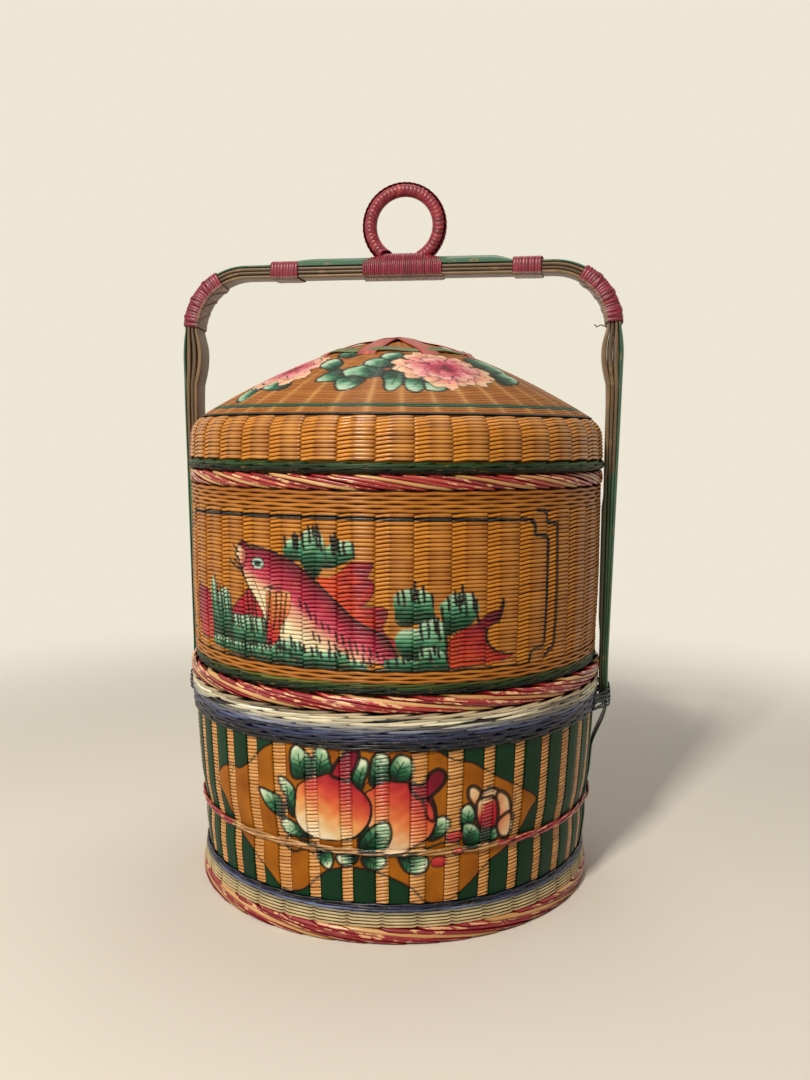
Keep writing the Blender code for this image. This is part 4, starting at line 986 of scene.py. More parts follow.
def closedRows(ring):
    # whole rows that run round, each stake under them showing as a small bump
    bundles = []
    angle = evenly(ring["segments"])[None]
    q = wrapped((angle - stakePhase) / stakePitch, 0.5)
    section = caneSection(ring["width"], ring["thick"], ring.get("side", 0.3))
    for i, l in enumerate(ring["rows"]):
        bump = np.exp(-(q / 0.13) ** 2) - 0.35 * np.cos(2 * math.pi * q) * (-1) ** i * 0.4
        phase = 0.9 + math.pi * i if "turned" in ring else 0
        sway = ring.get("sway", 0) * np.cos(2 * math.pi * q + phase)
        notch = np.exp(-((abs(q) - 0.5) / 0.075) ** 2) * (1 if "notch" in ring else 0)
        sway = sway + ring.get("notch", 0) * notch
        place = profileWalk(ring["profile"], l + 0.05 * mm * np.sin(angle * 7 + i) + sway)
        centre, out = beneath(place, angle, ring["thick"] / 2 - ring["bump"] * bump
            + ring.get("under", 0))
        shade = 0.82 + 0.18 * np.exp(-(q / 0.16) ** 2) + 0.03 * chance.normal(0, 1, angle.shape)
        shade = shade * (1 - 0.3 * notch)
        code = ring["tones"][min(i, len(ring["tones"]) - 1)]
        dye = dyes([code], 1, uneven=0.03) if code else None
        bundle = sweep(centre, out, section, shade=shade, closed=True, dye=dye)
        if not code and "ridge" in ring:
            # a pale line painted along the rows' ridge over each stake, on the outer rows only
            paleRidge = ring["ridge"] * soft(place[0][0], 0.07, 0.1) * np.exp(-(q[0] / 0.07) ** 2)
            bundle["paint"][:, :3] = tone("eab65e")
            bundle["paint"][:, 3] = np.repeat(paleRidge, 6)
        bundles.append(bundle)
    return bundles


def rolledBorder(b):
    # slanting canes that come over the top, down across the face and back under
    count, rings = b["count"], b["rings"]
    t = np.linspace(-1, 1, rings)[None]

    def bent(face, end):
        # even over the face, and on to the end in the last fifth, which turns in under the border
        return np.where(abs(t) < 0.8, t / 0.8 * face,
            np.sign(t) * (face + (abs(t) - 0.8) / 0.2 * (end - face)))
    psi = np.radians(-bent(b["faceTurn"], b["fullTurn"])) + chance.normal(0, 0.03, (count, 1))
    slope = b["faceLength"] / 2 / b["radius"]
    angle = bent(slope, slope + b["endLength"] / b["radius"])
    angle = angle + (np.arange(count)[:, None] + chance.normal(0, 0.06, (count, 1))) * 2 * math.pi / count
    lift = chance.normal(0, 0.12 * mm, (count, 1))
    wide, high = np.cos(psi), np.sin(psi)
    reach = b["deep"] - b["thick"] / 2 + lift
    radius = b["radius"] - b["deep"] + reach * np.sign(wide) * abs(wide) ** b["square"]
    height = b["middle"] + (b["tall"] - b["thick"] / 2) * np.sign(high) * abs(high) ** 0.9
    centre = onRing(radius, angle, height)
    out = onRing(np.cos(psi), angle, np.sin(psi))
    shade = np.broadcast_to(1 - 0.75 * soft(abs(t), 0.78, 1.0), psi.shape)
    dye = dyes(b["tones"], count, uneven=0.07)
    covers = np.array([float(c not in b["bare"]) for c in b["tones"]])
    dye[:, 3] = covers[np.arange(count) % len(covers)]
    width = np.broadcast_to(1 + chance.normal(0, 0.07, (count, 1)), psi.shape)
    face, back = b["radius"] - 1.6 * mm, b["radius"] - 2 * b["deep"] + 1.2 * mm
    corners = ((face, -1), (face, 1), (back, 1), (back, -1))
    core = turned([(r, b["middle"] + (b["tall"] - 2.0 * mm) * up) for r, up in corners], shade=0.25)
    return [core, sweep(centre, out, caneSection(b["width"], b["thick"]), width, shade, dye=dye)]


borderSkin = caneSkin("painted border canes", "b87a3c", "ecbc80", wear=1.0, bareWear="ecb882", chip=82,
    chipAt=0.535, rough=0.36, coat=0.4)
footSkin = caneSkin("worn foot canes", "bc8448", "e4b47c", wear=1.0, bareWear="e2ae7c", chip=80,
    chipAt=0.53, rough=0.38, coat=0.3)
bandSkin = caneSkin("painted band canes", "a88a5a", "d4c294", streak=(45, 1700), wear=0.22,
    bareWear="c4b48c", chip=240, chipAt=0.6, rough=0.42, coat=0.15, gleam=0.3)
greenSkin = caneSkin("green edge canes", "6c5a24", "9a7a38", wear=0.5, bareWear="8a7030", chip=120,
    chipAt=0.6, rough=0.52, coat=0.05, gleam=0.2)

lidProfile = metres((139.75, 283.5), (139.1, 296.5)) + [
    ((124.6 + 14.5 * math.cos(math.radians(a))) * mm, (296.5 + 14.5 * math.sin(math.radians(a))) * mm)
    for a in (8, 16, 24, 32, 40, 48, 56, 60)]
# the lid band gets its own painted light: a brighter gap tone and a paler sheen over each stake
lidWeave = dict(upperWeave, gapTone="ea9422", stakeTone="e4a650", profile=lidProfile,
    rows=rowsBetween(0, 28.0 * mm, 2.33 * mm))
domeRise = {"foot": 132.3, "level": 309.1, "rise": 53.0, "power": 1.55, "crown": 21.0}


def domeHeight(r):
    share = np.maximum(r, 0) / domeRise["foot"]
    return domeRise["level"] + domeRise["rise"] * (1 - share ** domeRise["power"])


def makeLid():
    weave = twinedRows(lidWeave, range(stakeCount), 19)
    makePiece("lidBandWeave", [weave], ochre, "lid", ["lid_band"])
    lining = turned(metres((136.6, 284), (136.4, 297), (133, 304.5), (128, 308.5), (124, 307), (131, 303),
            (133.9, 297), (134.2, 284)), shade=0.4)
    makePiece("lidBandLining", [lining], plainLining, "lid")
    radii = np.linspace(132.6, domeRise["crown"], 60)
    profile = [(r * mm, h * mm + 0.25 * mm) for r, h in zip(radii, domeHeight(radii))]
    pitch = 2.08 * mm
    rows = rowsBetween(0.6 * mm, profileLength(profile), pitch)
    tones = ["14120d", None, None, None, "123a26", "1c4c30"] + [None] * 60
    split = 24
    ring = {"profile": profile, "width": 2.05 * mm, "thick": 1.4 * mm, "bump": 0.22 * mm, "side": 0.46,
        "ridge": 0.32}

    def domePaint(verts, grain, paint):
        canvas = newCanvas(verts[:, 0] * 1000, verts[:, 1] * 1000, paint, grain)
        paintDomePanel(canvas)
        paintDomePanel(dict(canvas, x=-canvas["x"], y=-canvas["y"]))
        return canvasPaint(canvas)
    outer = closedRows(dict(ring, rows=rows[:split], tones=tones, segments=600))
    inner = closedRows(dict(ring, rows=rows[split:], tones=[None], segments=420))
    makePiece("lidDomeRows", outer, domeSkin, "lid", ["lid_dome"], painter=domePaint)
    makePiece("lidDomeTopRows", inner, domeSkin, "lid", painter=domePaint)
    few = np.append(radii[::4], 1.0)
    skin = [(r * mm, h * mm - 1.0 * mm) for r, h in zip(few, domeHeight(few))]
    under = [(r, h - 1.4 * mm) for r, h in reversed(skin)]
    makePiece("lidDomeLining", [turned(skin + under, shade=0.45)], plainLining, "lid")
    # the edge rows go from dark green at the top to near black at the bottom: the canes' own dark green, with
    # painted shade on the lowest rows under the lid's edge
    edge = {"profile": metres((139.0, 276.3), (140.4, 277.8), (140.4, 280.6), (139.9, 282.4)),
        "tones": ["0a0f08", "131f0e", "21391c"], "count": 36, "reach": 0.95, "slant": 0.5,
        "width": 2.2 * mm, "thick": 1.5 * mm, "dive": 1.3 * mm, "uneven": 0.4}
    core = turned(metres((134.6, 276.5), (138.4, 276.5), (139.1, 280), (138.4, 283.3), (134.6, 283.3)),
        shade=0.3)
    makePiece("lidEdgeCanes", stitchedRows(edge) + [core], greenSkin, "lid",
        ["lid_bottom_edge"])


def makeCrown(c):
    half = np.linspace(-c["reach"], c["reach"], 61)
    bundles = []
    for i in range(4):
        turn = math.radians(i * 45 + c["turn"])
        x, y = half * math.cos(turn), half * math.sin(turn)
        weave = 0.55 * np.cos(abs(half) / 15 * math.pi + i * math.pi / 2)
        weave = weave * soft(-abs(half), -c["reach"], -8)
        h = domeHeight(np.hypot(x, y)) + 1.15 + weave - 2.0 * soft(abs(half), c["reach"] - 5, c["reach"])
        centre = np.stack([x * mm, y * mm, h * mm], -1)[None]
        out = np.broadcast_to([0, 0, 1.0], centre.shape)
        bundles.append(sweep(centre, out, flatSection(c["width"] * mm, c["thick"] * mm),
                dye=dyes([c["tone"]], 1)))
    angle = evenly(240)[None]
    for radius, code in ((c["band"] - 1.7, "3d5a3c"), (c["band"] + 1.7, "56683f")):
        over = 1.35 + 0.55 * np.cos(angle * 8)
        centre = onRing(radius * mm, angle, (domeHeight(radius) + over) * mm)
        out = onRing(0.5, angle, 1.0)
        bundles.append(sweep(centre, out, flatSection(3.3 * mm, 0.8 * mm), closed=True,
                dye=dyes([code], 1, cover=0.85)))
    makePiece("crownStrips", bundles, crownSkin, "lid", ["lid_crown"])


crownSkin = caneSkin("crown strips", "8a5a34", "c89868", streak=(25, 500), wear=0.35, bareWear="d0886a",
    chip=90, coat=0.15, rough=0.5)
crownPlait = {"reach": 56, "width": 13.6, "thick": 0.8, "turn": 33, "tone": "b44a42", "band": 48.0}

topBorder = {"radius": 139.5 * mm, "middle": 271.3 * mm, "tall": 4.75 * mm, "deep": 2.9 * mm, "count": 64,
    "rings": 23, "faceTurn": 58, "fullTurn": 130,
    "faceLength": 50 * mm, "endLength": 8 * mm, "width": 2.55 * mm, "thick": 1.5 * mm, "square": 0.6,
    "tones": ["982022", "b0382e", "e8b478", "9c2024", "bc4c40", "861820", "e2a868"],
    "bare": ["e8b478", "e2a868"]}
jointBorder = dict(topBorder, radius=140.4 * mm, middle=145.5 * mm, tall=5.15 * mm, deep=3.2 * mm,
    count=44, faceLength=78 * mm, endLength=11 * mm,
    width=3.1 * mm, thick=1.6 * mm, rings=29, tones=["961c24", "a82c30", "d69c60", "861820", "a2242a",
        "dba368", "8e1a22"], bare=["d69c60", "dba368"])
footBorder = dict(topBorder, radius=133.9 * mm, middle=5.5 * mm, tall=5.45 * mm, deep=3.4 * mm,
    square=0.4, count=40, faceLength=88 * mm, endLength=12 * mm,
    width=3.4 * mm, thick=1.8 * mm, rings=31, tones=["8e1c26", "98242c", "d09c68", "861820", "902026",
        "96222a", "c89060"], bare=["d09c68", "c89060"])

topBand = {"profile": metres((139.2, 118.2), (139.6, 128), (140.0, 140)), "count": 40, "reach": 0.96,
    "slant": 0.5, "width": 2.2 * mm,
    "thick": 1.6 * mm, "dive": 1.3 * mm, "uneven": 0.5, "side": 0.16,
    "tones": ["08090f", "0b0d1c", "151930", "262c4a", "3a4262", "646878", "96948c", "cfc4a6", "e4d8b8",
        "b8a584"]}
footBand = dict(topBand, profile=metres((132.1, 19.4), (131.4, 24.3)),
    tones=["4a5270", "10142e", "0c0f22"], width=1.85 * mm, count=40, slant=0.3)
# cream rows from the bottom up; their tones are set darker than bare cream as painted shade, these rows lying
# low in shadow
creamRows = {"profile": metres((132.9, 10.2), (132.1, 19.6)), "width": 1.62 * mm, "thick": 1.5 * mm,
    "bump": 0.3 * mm, "sway": 0.1 * mm, "notch": 0.75 * mm, "segments": 800,
    "side": 0.14, "tones": ["ccae80", "d6bc8c", "d8c292", "c2ae84", "928a72"]}
upperFootBand = {"profile": metres((137.2, 150.9), (137.5, 157.3)), "count": 44, "reach": 0.95,
    "slant": 0.6, "width": 1.8 * mm, "thick": 1.4 * mm,
    "dive": 1.1 * mm, "uneven": 0.4, "tones": ["0b120a", "192a14", "24381a", "4a4c1c"]}
upperLowRows = {"profile": metres((137.5, 157.2), (137.8, 163.9)), "width": 2.1 * mm, "thick": 1.5 * mm,
    "bump": 0.3 * mm, "sway": 0.3 * mm, "turned": True,
    "segments": 400, "tones": [None], "under": 0.25 * mm}


def makeBorders():
    for name, border, skin, body, node in (
            ("upperTopBorderCanes", topBorder, borderSkin, "upper_tier", "upper_top_border"),
            ("jointBorderCanes", jointBorder, borderSkin, "base", "lower_top_border"),
            ("footBorderCanes", footBorder, footSkin, "base", "foot_border")):
        makePiece(name, rolledBorder(border), skin, body, [node])
    makePiece("lowerTopBandCanes", stitchedRows(topBand), bandSkin, "base",
        ["lower_top_band"])
    cream = closedRows(dict(creamRows, rows=rowsBetween(0, profileLength(creamRows["profile"]),
                1.88 * mm)))
    makePiece("lowerFootBandCanes", stitchedRows(footBand) + cream, bandSkin, "base",
        ["lower_foot_band"])
    makePiece("upperFootBandCanes", stitchedRows(upperFootBand), greenSkin, "upper_tier",
        ["upper_foot_band"])
    low = closedRows(dict(upperLowRows, rows=rowsBetween(0, 6.7 * mm, 2.23 * mm)))
    makePiece("upperLowRows", low, wallSkin, "upper_tier")


# lower tier: flat slats with narrow columns of strands between them
lowerWall = {"foot": 13.3, "tall": 126.7, "rim": 137.8, "taper": 8.8, "power": 1.6, "hoop": 56.3,
    "waist": 1.4, "reach": 18.0}


def slatRadius(z):
    share = np.clip((z - lowerWall["foot"]) / lowerWall["tall"], 0, 1)
    waist = 1 - soft(abs(z - lowerWall["hoop"]), 0, lowerWall["reach"])
    taper = lowerWall["taper"] * (1 - share) ** lowerWall["power"]
    return lowerWall["rim"] - taper - lowerWall["waist"] * waist


# widths of the columns between slats, as shares of a stake's pitch, uneven as cut by hand
columnWidths = 0.385 + 0.06 * chance.normal(0, 1, stakeCount)
slatSkin = caneSkin("bamboo slats", "a2611f", "cf8a35", streak=(14, 420), wear=0.12, bareWear="8a7438",
    chipAt=0.64, rough=0.5, coat=0.03, bump=0.15, gleam=0.16)
columnSkin = caneSkin("natural column strands", "b8742a", "e8b068", streak=(60, 1500), wear=0.25,
    bareWear="dba35c", rough=0.38, coat=0.35)


def lowerBase(verts, grain, paint):
    # green outside the painted panel, but the strands between slats keep their own colour
    paint = paint.copy()
    paint[:, :3] = tone("05301a") * (1 + 0.4 * (grain[:, 2:3] - 0.5))
    paint[:, 3] = 1
    return wallPainter(paintedAt["slats"], paintLowerPanel)(verts, grain, paint)


slat = {"foot": 23.5, "top": 118.8, "wide": 13.4, "drawnFor": 13.0, "thick": 1.1, "sunk": 0.5}
column = {"foot": 24.4, "top": 118, "pitch": 2.2, "wide": 2.15, "thick": 1.7, "uneven": 0.1}


def makeLowerWall():
    fine, coarse = fineStakes(52, -1)
    slats = []
    for stakes, steps, points in ((fine, 150, 22), (coarse, 60, 10)):
        levels = np.linspace(slat["foot"], slat["top"], steps)
        radius = slatRadius(levels)
        k = np.array(stakes)
        left, right = columnWidths[k - 1] / 2 - 0.5, 0.5 - columnWidths[k] / 2
        middle = (stakePhase + (k + (left + right) / 2) * stakePitch)[:, None]
        widths = (right - left)[:, None] * stakePitch * radius
        scale = np.stack([widths / slat["drawnFor"], np.ones_like(widths)], -1)
        centre = onRing((radius - slat["sunk"]) * mm, middle, levels * mm)
        section = flatSection(slat["wide"] * mm, slat["thick"] * mm, points)
        slats.append(sweep(centre, onRing(1.0, middle, 0 * levels), section, scale))
    makePiece("lowerSlats", slats, slatSkin, "base", ["lower_wall"], painter=lowerBase,
        sharp=40)

    q = np.linspace(-0.5, 0.5, 8)[None, None]
    rows = np.arange(column["foot"], column["top"], column["pitch"])[None, :, None]
    rows = rows + chance.normal(0, column["uneven"], (stakeCount, 1, 1))
    shifts = chance.normal(0, column["uneven"], (stakeCount, rows.shape[1], 1))
    z = rows + 1.1 * soft(q, -0.5, 0.5) - 0.5 + shifts
    width = np.array(columnWidths)[:, None, None] + 0.05
    angle = (np.arange(stakeCount)[:, None, None] + 0.5 + q * width) * stakePitch + stakePhase + 0 * z
    sink = 0.75 + 1.2 * soft(abs(q), 0.40, 0.5) - 0.45 * np.cos(q * 3.1)
    r = slatRadius(z) - sink - 0.6
    centre = onRing(r * mm, angle, z * mm).reshape(-1, 8, 3)
    out = onRing(1, angle, 0).reshape(-1, 8, 3)
    shade = 1 - 0.8 * soft(-q, 0.38, 0.5) - 0.5 * soft(q, 0.42, 0.5)
    shade = np.broadcast_to(shade, r.shape).reshape(-1, 8)
    strands = sweep(centre, out, caneSection(column["wide"] * mm, column["thick"] * mm, 0.48),
        shade=shade)
    makePiece("lowerColumnStrands", [strands], columnSkin, "base",
        painter=wallPainter(paintedAt["columns"], paintLowerStrands))
    heights = np.linspace(13.6, 139.6, 14)
    inside = [((slatRadius(h) - 2.6) * mm, h * mm) for h in heights]
    liner = [((slatRadius(h) - 4.2) * mm if h < 110 else 132.9 * mm, h * mm) for h in reversed(heights)]
    makePiece("lowerWallLining", [turned(inside + liner, shade=0.3)], plainLining, "base")


def paintLowerStrands(canvas):
    paintLowerPanel(canvas, ground=False)


hoop = {"strands": 3, "twists": 13, "swing": 1.35, "proud": 1.25, "bulge": 0.55, "overTail": 1.7,
    "wide": 1.75, "thick": 1.45,
    "red": "961c24", "redFrom": (-97, -93), "redTo": (86, 90), "brown": "8a5a1e"}


def makeHoop():
    angle = evenly(720)
    side = np.degrees(abs(wrapped(angle, math.pi)))
    lift = 1 - soft(abs(side - 90), 5, 11)      # it passes over the outer strip's tails
    bundles = []
    for start in evenly(hoop["strands"]):
        phase = angle * hoop["twists"] + start + 0.4 * np.sin(angle * 5)
        z = lowerWall["hoop"] + hoop["swing"] * np.sin(phase)
        r = slatRadius(z) + hoop["proud"] + hoop["bulge"] * np.cos(phase) + hoop["overTail"] * lift
        centre = onRing(r * mm, angle, z * mm)[None]
        out = onRing(1, angle, 0)[None]
        bundles.append(sweep(centre, out, roundSection(hoop["wide"] * mm, hoop["thick"] * mm),
                closed=True))

    def hoopPaint(verts, grain, paint):
        # red except across the painted panel, front and back
        s = wrapped(angleOf(verts), math.pi / 2) * paintedAt["slats"]
        red = 1 - soft(s, *hoop["redFrom"]) * (1 - soft(s, *hoop["redTo"]))
        paint[:, :3] = mixed(tone(hoop["brown"]), tone(hoop["red"]), red[:, None])
        paint[:, 3] = 0.6 + 0.4 * red
        return wallPainter(paintedAt["hoop"], paintLowerStrands)(verts, grain, paint)
    makePiece("hoopStrands", bundles, borderSkin, "base",
        ["hoop_upper_strand", "hoop_lower_strand"], painter=hoopPaint)


# handle
grip = {"strips": 4, "width": 18.0, "thick": 2.2, "footThick": 1.2, "gap": 0.3, "top": 413.8,
    "cornerRadius": 45.0, "cornerCentre": 104.5, "cornerLevel": 368.8,
    "footLevel": 150.6, "footSpan": 146.6, "swell": 151.4, "swellLevel": 350.8, "cornerSpan": 149.5,
    "borderSide": 140.9, "lidSide": 141.0, "lidLevel": 276.3,
    "fanFoot": 332.8, "fanBulge": 2.6, "tieFoot": 118.5, "tailBend": 32.0, "culmThick": 3.7,
    "culmEnd": 66}


def stripFaces(number, z):
    # the outer and inner face of one strip, measured from the middle of the basket
    g = grip

    def climbed(low, high):
        return np.clip((z - g[low]) / (g[high] - g[low]), 0, 1)
    thick = mixed(g["footThick"], g["thick"], climbed("footLevel", "cornerLevel"))
    above = mixed(g["swell"], g["cornerSpan"], climbed("swellLevel", "cornerLevel") ** 2)
    below = mixed(g["footSpan"], g["swell"], climbed("footLevel", "swellLevel"))
    outside = np.where(z > g["swellLevel"], above, below)
    bar = g["strips"] * g["thick"] + (g["strips"] - 1) * g["gap"]
    share = climbed("fanFoot", "cornerLevel")
    fan = mixed(g["lidSide"], g["cornerSpan"] - bar, share) - g["fanBulge"] * np.sin(math.pi * share)
    low = mixed(g["borderSide"], g["lidSide"], climbed("footLevel", "lidLevel"))
    inside = np.where(z > g["fanFoot"], fan, low)
    spread = (outside - inside - g["strips"] * thick) / (g["strips"] - 1)
    face = outside - number * (thick + spread)
    return face, face - thick


def stripPath(number):
    # the middle line and thickness of one strip, from its right foot over the bar to the left
    g = grip
    up = np.linspace(g["tieFoot"], g["cornerLevel"], 84)
    face, back = stripFaces(number, up)
    x, z, t = (face + back) / 2, up, face - back
    if number == 0:
        down = np.linspace(24.6, g["tieFoot"], 34)[:-1]
        tied = stripFaces(0, np.array(g["tieFoot"]))[1]
        inner = mixed(tied, slatRadius(down) + 0.3, soft((g["tieFoot"] - down) / g["tailBend"], 0, 1))
        x = np.concatenate([inner + g["footThick"] / 2, x])
        z = np.concatenate([down, z])
        t = np.concatenate([np.full(len(down), g["footThick"]), t])
    turn = np.radians(np.linspace(90, 0, 25))[1:]
    reach = g["cornerRadius"] - number * (g["thick"] + g["gap"]) - g["thick"] / 2
    along = np.linspace(g["cornerCentre"], 0, 34)[1:]
    x = np.concatenate([x, g["cornerCentre"] + reach * np.sin(turn), along])
    z = np.concatenate([z, g["cornerLevel"] + reach * np.cos(turn),
            np.full(len(along), g["cornerLevel"] + reach)])
    t = np.concatenate([t, np.full(len(turn) + len(along), g["thick"])])
    x = np.concatenate([x, -x[-2::-1]])
    z, t = (np.concatenate([v, v[-2::-1]]) for v in (z, t))
    fan = (0.42 + 0.5 * soft(z, 317, 339)) * soft(-z, -370, -356) * soft(z, 122, 150)
    fan = fan + (number == 3) * 0.9 * soft(z, 162, 176) * soft(-z, -260, -248)
    x, t = x - np.sign(x) * fan / 2, t + fan
    if number == 0:
        end = g["culmEnd"]
        thicker = g["culmThick"] * soft(x, -end - 30, -end + 12) * soft(-x, -end - 16, -end + 2)
        thicker = thicker * (z > g["top"] - 4)
        z, t = z + thicker / 2, t + thicker
    return x, z, t


handleSkin = caneSkin("handle strips", "5c4428", "a08058", streak=(9, 900), wear=0.4, bareWear="a8895c",
    chip=60, rough=0.46, coat=0.12, bump=0.35)
wrapSkin = caneSkin("red binding cane", "7a6858", "b8a68e", streak=(40, 1300), wear=0.6,
    bareWear="bc5a40", chip=190, chipAt=0.6, rough=0.44, coat=0.16)


def handlePaint(number):
    # green all over the outer strip, and over the whole bundle low on the uprights
    def painter(verts, grain, paint):
        z = verts[:, 2] * 1000
        edge = 292 + 8 * np.sin(verts[:, 1] * 900) + 6 * np.sin(grain[:, 0] * 300 + number)
        green = soft(edge - z, 0, 14)
        if number == 3:
            green = green * 0.75
        streak = 0.5 + 0.5 * np.sin(verts[:, 1] * 2600 + number)
        shade = mixed(tone("27472f"), tone("3e6a4a"), streak[:, None])
        paint[:, :3] = mixed(paint[:, :3], shade, green[:, None])
        paint[:, 3] = np.maximum(paint[:, 3], green * 0.95)
        return paint
    return painter


# each strip's piece, the node it stands for, its slot, its tone and how much of the cane that hides
# the natural strips' tones hold painted light: the second and third darker as shade under the bar, the inner
# one lighter where its face is lit
handleStrips = [("handleOuterStrip", "handle_outer_strip", "green_culm", "2f5a40", 1.0),
                ("handleSecondStrip", "handle_second_strip", "natural_bamboo", "544030", 0.65),
                ("handleThirdStrip", "handle_third_strip", "natural_bamboo", "463626", 0.65),
                ("handleInnerStrip", "handle_inner_strip", "natural_bamboo", "745c40", 0.65)]


def makeHandle():
    width, thick = grip["width"] * mm, grip["thick"] * mm
    for number, (name, node, slot, code, cover) in enumerate(handleStrips):
        x, z, t = stripPath(number)
        wave = 0.35 * np.sin(np.arange(len(x)) / 23 + number * 2) * (number > 0)
        centre = np.stack([x, wave, z], -1)[None] * mm
        step = np.gradient(np.stack([x, z], -1), axis=0)
        out = np.stack([step[:, 1], 0 * x, -step[:, 0]], -1)[None]
        scale = np.stack([np.full(len(x), 1 - 0.02 * number), t / grip["thick"]], -1)[None]
        half = np.array([(-0.5, 0.12), (-0.485, 0.36), (-0.44, 0.5), (-0.2, 0.5), (0.05, 0.5), (0.3, 0.5),
                (0.44, 0.5), (0.485, 0.36), (0.5, 0.12), (0.485, -0.4), (0.42, -0.5), (0.15, -0.5),
                (-0.15, -0.5), (-0.42, -0.5), (-0.485, -0.4), (-0.5, -0.15)])
        if number == 0:
            half[:9, 1] -= 0.55 * (2 * abs(half[:9, 0])) ** 2.2
        dye = dyes([code], 1, cover=cover)
        strip = sweep(centre, out, (half * (width, thick), np.full(len(half), 0.95)), scale, dye=dye)
        makePiece(name, [strip], handleSkin, "base", [node], painter=handlePaint(number), sharp=50)


def loopRound(side, above, below, off, topSide, ridge):
    # a rounded loop about the bundle as (across, out) points, its upper corners drawn in over the convex culm
    loop = np.array([(side + off, below - off * 0.4), (side + off, ridge), (topSide, above + off),
            (-topSide, above + off), (-side - off, ridge),
            (-side - off, below - off * 0.4), (-side + 1.2, below - off), (side - 1.2, below - off)])
    for _ in range(2):
        after = np.roll(loop, -1, 0)
        loop = np.stack([loop * 0.75 + after * 0.25, loop * 0.25 + after * 0.75], 1).reshape(-1, 2)
    return loop


def wraps(frames, section, dye=None, sway=0.0, off=0.65, topSide=6.8, slip=0.0):
    # one loop of cane for each frame of the bundle: middle, way along, way out, faces, ridge, lean
    centres, outs, covers = [], [], []
    for middle, along, out, above, below, ridge, lean in frames:
        proud = off + 0.2 * chance.random()
        loop = loopRound(grip["width"] / 2 - 0.3, above - 0.1, below + 0.1, proud, topSide, ridge)
        slide = lean * loop[:, 0] / 9 + sway * chance.normal(0, 1)
        slide = slide + slip * np.clip(-loop[:, 0] / 9, -1, 1) * (loop[:, 1] < below)
        across = np.cross(out, along)
        centres.append(middle + loop[:, :1] * across + loop[:, 1:] * out + slide[:, None] * along)
        away = loop - (0, (ridge + below) / 2)
        away[:, 0] -= np.clip(away[:, 0], -8, 8)
        outs.append(away[:, :1] * across + away[:, 1:] * out)
        covers.append(np.where(loop[:, 1] < below + 0.6, 0.25, 1.0))
    bundle = sweep(np.array(centres) * mm, np.array(outs), section, closed=True, dye=dye)
    shape = len(frames), len(covers[0]), len(section[0])
    bundle["paint"] = bundle["paint"].reshape(*shape, 4)
    bundle["paint"][..., 3] *= np.array(covers)[:, :, None]
    bundle["paint"] = bundle["paint"].reshape(-1, 4)
    return bundle


binding = {"cornerTurns": 20, "cornerFrom": 31, "cornerTo": 84, "barTurns": 9, "barPitch": 2.05,
    "barPlaces": (-0.73, 0.84),
    "saddleTurns": 38, "saddlePitch": 1.4, "saddleMiddle": 4.5, "saddleHalf": 26.6, "saddleFlat": 12}
sideways, upwards = np.array([1.0, 0, 0]), np.array([0, 0, 1.0])


def makeBindings():
    g, b = grip, binding
    bar = g["strips"] * g["thick"] + (g["strips"] - 1) * g["gap"]
    half, level = bar / 2, g["top"] - bar / 2
    cane = flatSection(2.85 * mm, 1.1 * mm, 5, 0.26)
    for side, name, node in ((1, "cornerWrapRight", "corner_binding_right"),
            (-1, "cornerWrapLeft", "corner_binding_left")):
        frames = []
        corner = np.array([side * g["cornerCentre"], 0, g["cornerLevel"]])
        for angle in np.radians(np.linspace(b["cornerFrom"], b["cornerTo"], b["cornerTurns"])):
            out = np.array([side * math.sin(angle), 0, math.cos(angle)])
            along = np.array([side * math.cos(angle), 0, -math.sin(angle)])
            middle = corner + out * (g["cornerRadius"] - half)
            frames.append((middle, along, out, half, -half, half - 1.2, 0.7 * side))
        over = [(*f[:6], -3.6 * side) for f in frames[3:-2:6]]
        turns = [wraps(frames, cane, dyes(["74142a", "84182c", "661024", "7c2038"], len(frames)), 0.16),
            wraps(over, cane, dyes(["741428"], len(over)), 0.2, 1.15)]
        if side == 1:
            loose = rounded([(141.5, 370.5), (138.5, 369.4), (135.6, 370.2), (133.2, 369.0),
                    (131.6, 370.6)], closed=False)
            loose = np.stack([loose[:, 0], -6 - 0.25 * (141.5 - loose[:, 0]), loose[:, 1]], -1)[None]
            # one loose end, bare cane
            turns.append(sweep(loose * mm, np.broadcast_to([0, 0, 1.0], loose.shape),
                    roundSection(1.1 * mm, 0.8 * mm, 6)))
        makePiece(name, turns, wrapSkin, "base", [node])
    turns = b["barTurns"]
    for share, name, node in zip(b["barPlaces"], ("barWrapLeft", "barWrapRight"),
            ("bar_binding_left", "bar_binding_right")):
        frames = []
        for i in range(turns):
            x = share * g["cornerCentre"] + (i - (turns - 1) / 2) * b["barPitch"]
            frames.append((np.array([x, 0, level]), sideways, upwards, half + 1.0, -half, half - 1.2,
                    0.5))
        makePiece(name, [wraps(frames, cane, dyes(["701428", "80182a"], turns), 0.1)], wrapSkin, "base",
            [node])
    turns = b["saddleTurns"]
    frames = []
    for i in range(turns):
        x = (i - (turns - 1) / 2) * b["saddlePitch"]
        share = np.clip((b["saddleHalf"] - abs(x)) / (b["saddleHalf"] - b["saddleFlat"]), 0, 1)
        middle = np.array([b["saddleMiddle"] + x, 0, level])
        frames.append((middle, sideways, upwards, half + mixed(1.6, 5.0, share), -half, half - 0.4, 0.4))
    fine = flatSection(1.65 * mm, 1.2 * mm, 5, 0.35)
    saddle = wraps(frames, fine, dyes(["7c1a2e", "882034", "70162a"], turns), 0.08, topSide=4.4, slip=2.6)
    makePiece("ringSaddleWrap", [saddle], wrapSkin, "base", ["ring_binding", "ring_saddle"])


